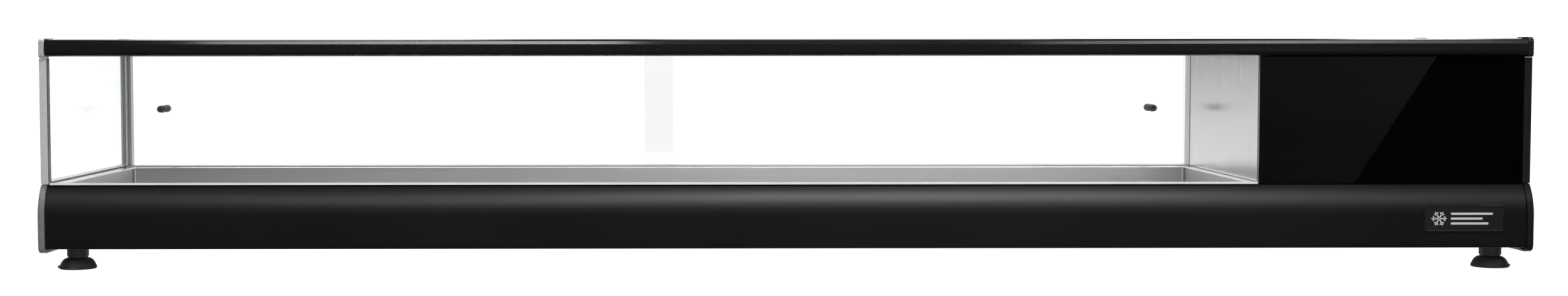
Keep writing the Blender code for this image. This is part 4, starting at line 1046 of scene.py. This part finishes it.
def make_tracks():
    low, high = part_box("rear_bottom_track")
    eased_node("rear_bottom_track", "sill_track", "aluminium", "aluminium", 0.0003)
    eased_node("rear_top_track", "head_track", "aluminium", "aluminium", 0.0003)
    make_jambs(low, high)
    piles = Shape()
    floor = high.z - 0.0115 + 0.0035
    for first in (low.y + TRACK_WALL, high.y - TRACK_WALL - GROOVE):
        for y in (first + 0.0001, first + GROOVE - 0.0004):
            strip = [(y, floor + 0.0002), (y + 0.0003, floor + 0.0002), (y + 0.0003, high.z - 0.0012)]
            strip.append((y, high.z - 0.0012))
            piles.add(prism(strip, "X", low.x + 0.002, high.x - 0.002))
    piles.piece("sill_brushes", "seal", "rubber")


def make_jambs(track_low, track_high):
    """Folded channels: a web against the case's end, and on the left a lip for the inner door."""
    low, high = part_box("left_door_jamb")
    web = low.x + 0.0012
    lip = low.y + 0.0135
    outline = [(low.x, low.y), (web, low.y), (web, lip), (high.x, lip), (high.x, high.y), (low.x, high.y)]
    left = Shape().add(prism(outline, "Z", low.z, high.z), ease=0.0004, segments=2)
    left.piece("left_jamb", "aluminium_up", "aluminium", "left_door_jamb")
    low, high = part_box("right_door_jamb")
    web = high.x - 0.0024
    outline = [(web, low.y), (high.x, low.y), (high.x, high.y), (web, high.y)]
    right = Shape().add(prism(outline, "Z", low.z, high.z), ease=0.0004, segments=2)
    right.piece("right_jamb", "aluminium_up", "aluminium", "right_door_jamb")


def make_lamp():
    low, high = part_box("led_strip")
    eased_node("led_strip", "lamp_cover", "opal", "lamp_diffuser", 0.0004)
    shape = Shape()
    for x, way in ((low.x, -1), (high.x, 1)):
        near, far = sorted((x, x + way * 0.004))
        plug = brick((near, low.y - 0.0003, low.z - 0.0003), (far, high.y + 0.0003, high.z + 0.0003))
        shape.add(plug, ease=0.0006)
    shape.piece("lamp_end_plugs", "plastic", "black_plastic")


def make_case():
    for name, side in SIDES.items():
        finish, slot = ("post", "grey_casting") if side < 0 else ("right_trim", "satin_black")
        make_side_frame(name, side, finish, slot)
    make_side_infills()
    make_corner_caps()
    make_rail()
    make_panes()
    make_tracks()
    make_lamp()
    eased_node("bulkhead", "bay_wall", "steel_z", "stainless")
    eased_node("machine_top_cover", "bay_lid", "sheet", "black_sheet", 0.0004)
    low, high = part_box("machine_top_cover")
    across, deep = (low.x + 0.012, high.x - 0.014), (low.y + 0.03, high.y - 0.03)
    places = [(x, y, high.z - 0.0002) for x in across for y in deep]
    screws("bay_lid_screws", places, (0, 0, 1), 0.0032, 0.0016, "dark_screw", "black_sheet")


# ---- doors ----
SPOOL = [(0.0, 0.0), (0.0040, 0.0), (0.0047, 0.015), (0.0050, 0.04), (0.0050, 0.09), (0.0046, 0.13)]
SPOOL += [(0.0034, 0.19), (0.0027, 0.27), (0.0026, 0.36), (0.0030, 0.46), (0.0040, 0.56), (0.0048, 0.64)]
SPOOL += [(0.0050, 0.72), (0.0050, 0.90), (0.0048, 0.955), (0.0042, 0.99), (0.0034, 1.0), (0.0030, 0.985)]
SPOOL += [(0.0, 0.978)]


def make_door(name):
    pane(f"{name}_door_glass", f"{name}_door_pane", Y, 0.0004)
    screw, knob = f"{name}_door_screw", f"{name}_door_knob"
    low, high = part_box(screw)
    centre = (low + high) / 2
    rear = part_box(f"{name}_door_glass")[1].y
    seat = low.y + 0.0037
    arm = 0.0021
    width = arm * CROSS
    head = [(0.0025, low.y + 0.0038 - rear), (0.0025, 0.0), (0.0043, 0.0), (0.0045, 0.0003), (0.0045, 0.0026)]
    head += [(0.0042, 0.0033), (0.0036, 0.0037), (0.0028, 0.00365)]
    rings = star_rings([(radius, 0, 0, height) for radius, height in head])
    rings += star_rings([(0, arm, width, 0.0034), (0, arm * 0.85, width * 0.8, 0.0012)])
    shape = Shape().add(loft(rings), facing(-Y, (centre.x, seat, centre.z)))
    shape.piece(f"{name}_knob_screw", "dark_screw", "black_plastic", screw, crease=38)
    low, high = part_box(knob)
    profile = [(radius, share * (high.y - low.y)) for radius, share in SPOOL]
    shape = Shape().add(turned(profile, 40), facing(Y, (centre.x, low.y, centre.z)))
    shape.piece(f"{name}_knob_spool", "plastic", "black_plastic", knob, crease=50)
    washer = turned([(0.0030, 0.0), (0.0046, 0.0), (0.0046, 0.0002), (0.0030, 0.0002), (0.0030, 0.0)], 28)
    shape = Shape().add(washer, facing(Y, (centre.x, rear + 0.00003, centre.z)))
    shape.piece(f"{name}_knob_washer", "seal", "rubber", body=f"{name}_door")


# ---- controls ----
SEGMENTS = {"0": "abcdef", "4": "bcfg"}


def seven_segment(figure, height):
    """The bars of a lit figure, as (middle, half size), across and up."""
    half = height / 2
    wide = height * 0.27
    bar = height * 0.055
    spots = {
        "a": ((0, half), True),
        "g": ((0, 0), True),
        "d": ((0, -half), True),
        "f": ((-wide, half / 2), False),
        "b": ((wide, half / 2), False),
        "e": ((-wide, -half / 2), False),
        "c": ((wide, -half / 2), False),
    }
    bars = []
    for key in SEGMENTS[figure]:
        middle, level = spots[key]
        size = (wide - bar * 1.2, bar) if level else (bar, half / 2 - bar * 1.2)
        bars.append((middle, size))
    return bars


def make_thermostat():
    low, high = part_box("thermostat_body")
    show_low, show_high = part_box("thermostat_display")
    eased_node("thermostat_body", "thermostat_case", "plastic", "black_plastic", 0.0003, 3)
    shape = Shape().add(frame_solid("thermostat_display"), ease=0.0002, segments=2)
    face = show_high.y
    middle = (show_low + show_high) / 2
    height = 0.0100
    for column, figure in ((0.0075, "4"), (-0.0060, "0")):
        for (a, b), (half_a, half_b) in seven_segment(figure, height):
            lean = b * 0.10
            spot = Vector((middle.x + column - a - lean, face, middle.z + b))
            size = Vector((half_a, 0.00006, half_b))
            shape.add(brick(spot - size, spot + size), finish=1)
    point = Vector((middle.x + 0.0010, face, middle.z - height / 2))
    dot = turned([(0.0, 0.00006), (0.0005, 0.00006), (0.0005, -0.0001), (0.0, -0.0001)], 12)
    shape.add(dot, facing(Y, point), finish=1)
    shape.piece("readout_window", "window digits", "display_window", "thermostat_display")
    marks = {1: "up", 2: "down", 3: "lamp", 4: "star"}
    for number, mark in marks.items():
        make_button(number, mark)
    rim = Shape()
    edge = 0.0012
    left, right, foot, top = show_low.x, show_high.x, show_low.z, show_high.z
    for a, b, c, d in (
        (left - edge, foot - edge, right + edge, foot - 0.0004),
        (left - edge, top + 0.0004, right + edge, top + edge),
        (left - edge, foot - edge, left - 0.0004, top + edge),
        (right + 0.0004, foot - edge, right + edge, top + edge),
    ):
        rim.add(brick((a, high.y - 0.0002, b), (c, high.y + 0.0003, d)), ease=0.00015, segments=2)
    rim.piece("readout_rim", "plastic", "black_plastic")


def make_button(number, mark):
    node = f"thermostat_button_{number}"
    low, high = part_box(node)
    middle = (low + high) / 2
    rings = []
    half_x, half_z = (high.x - low.x) / 2, (high.z - low.z) / 2
    for inset, level in ((0.0, low.y), (0.0, high.y - 0.0007), (0.0003, high.y - 0.0002), (0.0009, high.y)):
        a, b = half_x - inset, half_z - inset
        outline = rectangle(-a, -b, a, b, 0.0010 - inset * 0.5)
        rings.append([(middle.x + a, level, middle.z + b) for a, b in outline])
    dish = [(middle.x + a * 0.6, high.y - 0.0002, middle.z + b * 0.6) for a, b in outline]
    shape = Shape().add(loft([*rings, dish]))
    outlines = []
    if mark in ("up", "down"):
        way = 1 if mark == "up" else -1
        outlines.append([(-0.0012, -0.0008 * way), (0.0012, -0.0008 * way), (0.0, 0.0012 * way)])
    elif mark == "lamp":
        outlines.append([tuple(p) for p in circle(0.0010, 16)])
    else:
        outlines += frost_star(0.0013, 0.00024)
    for outline in outlines:
        drawn = [(middle.x - a, middle.z + b) for a, b in outline]
        shape.add(prism(drawn, "Y", high.y - 0.0003, high.y - 0.00012), finish=1)
    shape.piece(f"key_{mark}", "plastic ink", "black_plastic", node)


def make_rocker(node, name, finish, slot):
    """A rocker with a dished face, resting on one end, with its two marks."""
    low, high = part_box(node)
    joint = next(j for j in frame["joints"] if j["child"] == frame["nodes"][node]["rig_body"])
    pivot = Vector(joint["pos_m"])
    half = 0.0085
    face = []
    for i in range(13):
        b = half * (1 - i / 6)
        face.append((0.0036 + 0.0012 * (b / half) ** 2, b))
    back = [(-0.0015, -half * 0.88), (-0.0045, 0.0), (-0.0015, half * 0.88)]
    turn = Matrix.Rotation(ROCKER_TILT, 2)
    outline = [tuple(turn @ Vector(p)) for p in face + back]
    wide = (high.x - low.x) / 2
    middle = (low.x + high.x) / 2
    place = Matrix.Translation((middle, pivot.y, pivot.z))
    shape = Shape().add(prism(outline, "X", -wide, wide), place, ease=0.0003, segments=2)
    tilt = Matrix.Rotation(ROCKER_TILT, 4, "X")
    bar = brick((-0.0004, 0.0041, 0.0036), (0.0004, 0.0044, 0.0066))
    shape.add(bar, place @ tilt, finish=1)
    ring = [(a, 0.0042, b - 0.0051) for a, b in circle(0.0014, 20)]
    shape.add(pipe(ring, 0.00025, 6, closed=True), place @ tilt, finish=1)
    shape.piece(name, f"{finish} ink", slot, node)


def make_gland():
    low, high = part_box("cable_gland")
    centre = (low + high) / 2
    place = facing(Y, (centre.x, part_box("rear_service_panel")[1].y, centre.z))
    dome = mm(0, 6, 3.4, 6, 3.4, 20.3, 5.2, 20.3, 6.4, 19, 7.2, 16.5, 7.5, 14, 7.5, 8.5, 8, 8, 8, 7.8, 0, 7.8)
    shape = Shape().add(turned(dome, 40), place)
    shape.add(prism(circle(0.0095, 6), "Z", CLEAR, 0.0079), place, ease=0.0006)
    for turn in round_about(18):
        rib = brick((0.0072, -0.0004, 0.0090), (0.0080, 0.0004, 0.0150))
        shape.add(rib, place @ turn, ease=0.0002, segments=2)
    shape.add(turned([(0.0, CLEAR), (0.0050, CLEAR), *mm(5, -11.8, 0, -11.8)], 24), place)
    shape.piece("cord_gland", "plastic", "black_plastic", "cable_gland")


def make_controls():
    make_thermostat()
    eased_node("switch_housing", "switch_frame", "plastic", "black_plastic", 0.0004, 3)
    make_rocker("main_rocker", "main_paddle", "green", "green_lens")
    make_rocker("lamp_rocker", "lamp_paddle", "plastic", "black_plastic")
    make_gland()
    louvred_panel("rear_service_panel", "service_cover", "steel_x", "stainless", 0, 0.0042)
    low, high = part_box("rear_service_panel")
    across, up = (low.x + 0.010, high.x - 0.010), (low.z + 0.009, high.z - 0.009)
    places = [(x, high.y - 0.0002, z) for x in across for z in up]
    screws("service_cover_screws", places, (0, 1, 0), 0.0032)


# ---- machine bay ----
def make_compressor():
    low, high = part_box("compressor")
    centre = (low + high) / 2
    r, h = 61.8, 158
    place = Matrix.Translation((centre.x, centre.y, low.z + 0.010))
    can = [(0, 1), (0.20, 0.998), (0.45, 0.982), (0.66, 0.950), (0.80, 0.905), (0.90, 0.850), (0.95, 0.790)]
    can += [(0.965, 0.70), (0.970, 0.565), (0.985, 0.558), (1, 0.552), (1, 0.512), (0.985, 0.505)]
    can += [(0.970, 0.50), (0.965, 0.34), (0.950, 0.19), (0.90, 0.105), (0.80, 0.050)]
    can += [(0.62, 0.014), (0.40, 0), (0, 0)]
    shape = Shape().add(turned([(a * r / 1000, b * h / 1000) for a, b in can], 64), place)
    foot = prism(rectangle(-0.066, -0.066, 0.066, 0.066, 0.012), "Z", -0.003, 0.003)
    shape.add(foot, place, ease=0.0008)
    grommet = mm(0, 5.5, 6.2, 5.5, 7.4, 4, 6, 3, 6, -3, 7.8, -4, 7.8, -9.8, 0, -9.8)
    for dx in (-0.055, 0.055):
        for dy in (-0.055, 0.055):
            spot = place @ Matrix.Translation((dx, dy, 0))
            shape.add(turned(grommet, 24), spot, finish=1)
            shape.add(prism(circle(0.0040, 6), "Z", 0.0055, 0.0085), spot, ease=0.0003, finish=2)
    for turn in round_about(40):
        bead = turned(mm(0, 1.1, 1.6, 0.7, 2.2, 0, 1.6, -0.7, 0, -1.1), 10)
        shape.add(bead, place @ turn @ Matrix.Translation((r * 0.000978, 0, h * 0.000532)))
    shape.piece("compressor_can", "enamel rubber screw", "compressor_paint", "compressor", crease=40)


def make_lines():
    low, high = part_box("filter_drier")
    centre = (low + high) / 2
    side = [(0, 1), (0.27, 1), (0.27, 0.87), (0.40, 0.855), (0.72, 0.80), (0.94, 0.765), (1, 0.74)]
    side += [(a, 1 - b) for a, b in reversed(side)]
    drier = turned([(a * (high.x - low.x) / 2, b * (high.z - low.z)) for a, b in side], 40)
    shape = Shape().add(drier, Matrix.Translation((centre.x, centre.y, low.z)))
    shape.piece("drier_cartridge", "copper", "copper", "filter_drier", crease=40)
    coil_low, coil_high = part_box("evaporator_coil")
    start = Vector((coil_high.x + CLEAR, coil_low.y + 0.004, (coil_low.z + coil_high.z) / 2))
    can_low, can_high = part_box("compressor")
    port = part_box("suction_line")[1]
    side = Vector(((can_low.x + can_high.x) / 2, port.y, port.z - 0.003))
    route = [start + Vector(step) / 1000 for step in ((0, 0, 0), (14, 0, 0), (20, 2, 6), (22, 10, 20))]
    route.append(Vector((start.x + 0.030, start.y + 0.022, side.z - 0.020)))
    route.append(Vector((start.x + 0.040, start.y + 0.026, side.z - 0.006)))
    route += [side + Vector(step) / 1000 for step in ((-14, -30, 0), (-4, -22, 0), (0, -12, 0), (0, 0, 0))]
    shape = Shape().add(pipe(curved(route, 5), 0.0030, 14))
    shape.piece("suction_pipe", "copper", "copper", "suction_line", crease=60)


def make_condenser():
    low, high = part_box("condenser")
    shape = Shape()
    fins = 58
    for i in range(fins):
        y = low.y + 0.008 + (high.y - low.y - 0.016) * i / (fins - 1)
        near, far = (low.x + 0.0006, y - 0.0001, low.z + 0.001), (high.x - 0.0006, y + 0.0001, high.z - 0.001)
        shape.add(brick(near, far))
    for y in (low.y + 0.003, high.y - 0.004):
        shape.add(brick((low.x, y, low.z), (high.x, y + 0.001, high.z)), ease=0.0003, segments=2, finish=2)
    rows = 6
    pitch = (high.z - low.z) / rows
    for column in (0.25, 0.75):
        x = low.x + (high.x - low.x) * column
        for i in range(rows):
            z = low.z + pitch * (i + 0.5)
            shape.add(pipe([(x, low.y + 0.002, z), (x, high.y - 0.002, z)], 0.0035, 12), finish=1)
            if i == rows - 1:
                continue
            end, reach = (low.y + 0.003, -0.00027) if i % 2 else (high.y - 0.003, 0.00027)
            turns = [math.pi * step / 8 for step in range(9)]
            bend = [(x, end + reach * math.sin(a), z + pitch / 2 * (1 - math.cos(a))) for a in turns]
            shape.add(pipe(bend, 0.0028, 10), finish=1)
    shape.piece("condenser_block", "fins copper galvanised", "aluminium", "condenser", crease=50)


def make_fan():
    low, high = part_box("fan_shroud")
    centre = (low + high) / 2
    shape = Shape().add(frame_solid("fan_shroud"), ease=0.0006, segments=2)
    shape.piece("fan_cowl", "sheet", "black_sheet", "fan_shroud", crease=25)
    guard = Shape()
    face = low.x - 0.0004
    for radius in (0.030, 0.040, 0.050, 0.060, 0.070):
        turns = [math.tau * i / 56 for i in range(56)]
        ring = [(face, centre.y + radius * math.cos(a), centre.z + radius * math.sin(a)) for a in turns]
        guard.add(pipe(ring, 0.0008, 6, closed=True))
    for i in range(6):
        a = math.tau * i / 6 + 0.3
        spoke = [(face, centre.y + r * math.cos(a), centre.z + r * math.sin(a)) for r in (0.029, 0.078)]
        guard.add(pipe(spoke, 0.0010, 8))
    guard.piece("fan_guard", "sheet", "black_sheet", crease=60)
    make_rotor(centre)
    make_motor(centre)


def make_rotor(centre):
    low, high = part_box("fan_rotor")
    place = facing(X, (low.x, centre.y, centre.z))
    depth = high.x - low.x
    hub = mm(0, 0, 17, 0, 19, 0.6, 20, 2)
    hub += [(0.0200, depth - 0.0030), (0.0192, depth - 0.0010), (0.0170, depth), (0.0120, depth)]
    hub += [(0.0105, depth - 0.0020), (0.0, depth - 0.0020)]
    shape = Shape().add(turned(hub, 48), place)
    for turn in round_about(5):
        shape.add(fan_blade(depth), place @ turn)
    shape.piece("fan_wheel", "plastic", "black_plastic", "fan_rotor", crease=50)


def fan_blade(depth):
    """A twisted blade from the hub out along +X, cambered, its chord swept round the hub."""
    rings = []
    for step in range(9):
        share = step / 8
        r = 0.0185 + 0.0510 * share
        chord = 0.0200 + 0.0130 * math.sin(share * math.pi * 0.62)
        pitch = math.radians(38 - 18 * share)
        sweep = 0.16 * share
        thick = 0.0017 - 0.0007 * share
        upper, lower = [], []
        for k in range(9):
            c = k / 8 - 0.5
            camber = 0.0022 * (1 - 4 * c * c)
            edge = thick * math.sqrt(max(0.0, 1 - 4 * c * c)) / 2 + 0.00015
            across = chord * c
            for line, level in ((upper, camber + edge), (lower, camber - edge)):
                u = across * math.cos(pitch) - level * math.sin(pitch)
                v = across * math.sin(pitch) + level * math.cos(pitch)
                turn = u / r + sweep
                line.append((r * math.cos(turn), r * math.sin(turn), depth / 2 + v * 0.72))
        rings.append(upper + list(reversed(lower)))
    return loft(rings)


def make_motor(centre):
    low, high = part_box("fan_motor")
    reach = high.x - low.x
    place = facing(X, (low.x, centre.y, centre.z))
    can = mm(0, 0, 20, 0, 23.5, 1, 25, 3.5, 25, 12, 28, 12.5, 28, 26, 25, 26.5)
    can += [(0.0250, reach - 0.0030), (0.0235, reach - 0.0008), (0.0, reach - 0.0008)]
    shape = Shape().add(turned(can, 48), place)
    for turn in round_about(16):
        rib = brick((0.0245, -0.0008, 0.0030), (0.0262, 0.0008, 0.0118))
        shape.add(rib, place @ turn, ease=0.0003, segments=2)
    arm = rectangle(centre.y - 0.0035, low.z, centre.y + 0.0035, high.z, 0.0015)
    shape.add(prism(arm, "X", high.x - 0.0060, high.x - 0.0002), ease=0.0005)
    shape.piece("motor_can", "plastic", "black_plastic", "fan_motor", crease=40)


def make_bay():
    make_compressor()
    make_lines()
    make_condenser()
    make_fan()


# ---- stage and light ----
def make_floor():
    bm = bmesh.new()
    bmesh.ops.create_grid(bm, x_segments=2, y_segments=2, size=14)
    mesh = bpy.data.meshes.new("floor")
    bm.to_mesh(mesh)
    bm.free()
    floor = bpy.data.objects.new("floor", mesh)
    floor.location.z = -0.0002
    bpy.context.scene.collection.objects.link(floor)
    f = Finish("pale_floor", {"Emission Color": (1.0, 1.0, 1.0, 1.0), "Emission Strength": 1.15})
    cloud = f.grain(2)
    f.give({"Base Color": f.tint(cloud, grey(0.14), grey(0.18)), "Roughness": cloud * 0.2 + 0.7})
    mesh.materials.append(f.material)
    floor.visible_glossy = False
    floor.visible_diffuse = False


def make_world():
    """White to the eye, and for what lights the case bright behind it and dark in front."""
    world = bpy.data.worlds.new("studio")
    bpy.context.scene.world = world
    world.use_nodes = True
    n = Nodes(world.node_tree)
    way = n.reading("ShaderNodeTexCoord", output="Generated")
    parts = n.node("ShaderNodeSeparateXYZ", None, {0: way})
    behind = Reading(n, parts.outputs[1])
    up = Reading(n, parts.outputs[2])
    horizon = up.spread(-0.034, 0.008) * (1 - up.spread(0.008, 0.028))
    lit = behind.spread(0.0, 0.6) * (1.02 - horizon * 0.92) + 0.008
    seen = n.reading("ShaderNodeLightPath", output="Is Camera Ray")
    background = n.tree.nodes["Background"]
    n.feed(background.inputs["Color"], (1.0, 1.0, 1.0, 1.0))
    n.feed(background.inputs["Strength"], seen * 1.30 + (1 - seen) * lit)


def make_light(name, place, target, size, power):
    lamp = bpy.data.lights.new(name, "AREA")
    lamp.shape = "RECTANGLE"
    lamp.size, lamp.size_y = size
    lamp.energy = power
    light = bpy.data.objects.new(name, lamp)
    light.location = place
    light.rotation_euler = (Vector(target) - Vector(place)).to_track_quat("-Z", "Y").to_euler()
    light.visible_camera = False
    bpy.context.scene.collection.objects.link(light)
    return light


def make_lights():
    """Strips and a box high in front, two thin strips for the rail's edge, boxes overhead and a low fill."""
    fascia = (0.0, -0.2, 0.09)
    make_light("front_left_strip", (-1.30, -1.75, 1.50), (-0.5, *fascia[1:]), (2.2, 0.60), 4.6)
    make_light("left_edge_strip", (-0.665, -1.75, 1.0), (-0.45, -0.2, 0.27), (0.87, 0.035), 2.4)
    make_light("right_edge_strip", (1.10, -1.75, 1.0), (0.60, -0.2, 0.27), (1.0, 0.035), 1.6)
    make_light("front_box", (0.36, -1.75, 1.50), (0.2, *fascia[1:]), (1.2, 0.60), 20.5)
    make_light("front_right_strip", (1.70, -1.75, 1.50), (0.8, *fascia[1:]), (1.4, 0.60), 1.6)
    make_light("top_left_box", (-0.85, 0.15, 2.1), (-0.6, -0.1, 0.2), (1.3, 0.5), 20)
    make_light("top_middle_box", (0.25, 0.15, 2.1), (0.2, -0.1, 0.2), (0.8, 0.5), 5)
    make_light("top_right_box", (1.40, 0.14, 2.1), (0.8, -0.1, 0.2), (0.62, 0.24), 8)
    make_light("rear_top_box", (0.2, 1.3, 2.0), (0.0, 0.0, 0.1), (3.2, 0.8), 16)
    fill = make_light("low_fill", (0.0, -3.2, 0.12), (0.0, 0.0, 0.12), (5.0, 0.8), 75)
    fill.visible_glossy = False


def make_reflection_card():
    """A faintly lit card out in front, for its slanting edge in the black pane."""
    low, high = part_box("machine_front_glass")
    eye = Vector(CAMERA_PLACE)
    eye.y = 2 * low.y - eye.y
    far = 0.45

    def mirrored(x, z):
        spot = Vector((x, low.y, z))
        return spot + (spot - eye) * far

    spots = ((0.7746, high.z), (0.6779, low.z), (0.50, low.z - 0.01), (0.50, high.z))
    corners = [mirrored(*spot) for spot in spots]
    mesh = bpy.data.meshes.new("reflection_card")
    mesh.from_pydata(corners, [], [(0, 1, 2, 3)])
    card = bpy.data.objects.new("reflection_card", mesh)
    bpy.context.scene.collection.objects.link(card)
    f = Finish("card_light", {"Base Color": (0, 0, 0, 1), "Emission Strength": 0.15})
    where = f.node("ShaderNodeSeparateXYZ", None, {0: f.place})
    rise = Reading(f, where.outputs[2]).spread(corners[1].z, corners[0].z)
    across = Reading(f, where.outputs[0]).spread(corners[3].x, corners[0].x)
    glow = f.tint(rise * 0.5 + across * 0.5, grey(0.25), grey(1.0))
    f.give({"Emission Color": glow, "Roughness": across * 0.1 + 0.8})
    mesh.materials.append(f.material)
    card.visible_camera = False
    card.visible_diffuse = False
    card.visible_shadow = False
    card.visible_transmission = False


make_camera()
FINISH = make_finishes()
make_base()
make_case()
make_door("left")
make_door("right")
make_controls()
make_bay()
make_floor()
make_world()
make_lights()
make_reflection_card()
bpy.context.scene.view_settings.view_transform = "Standard"
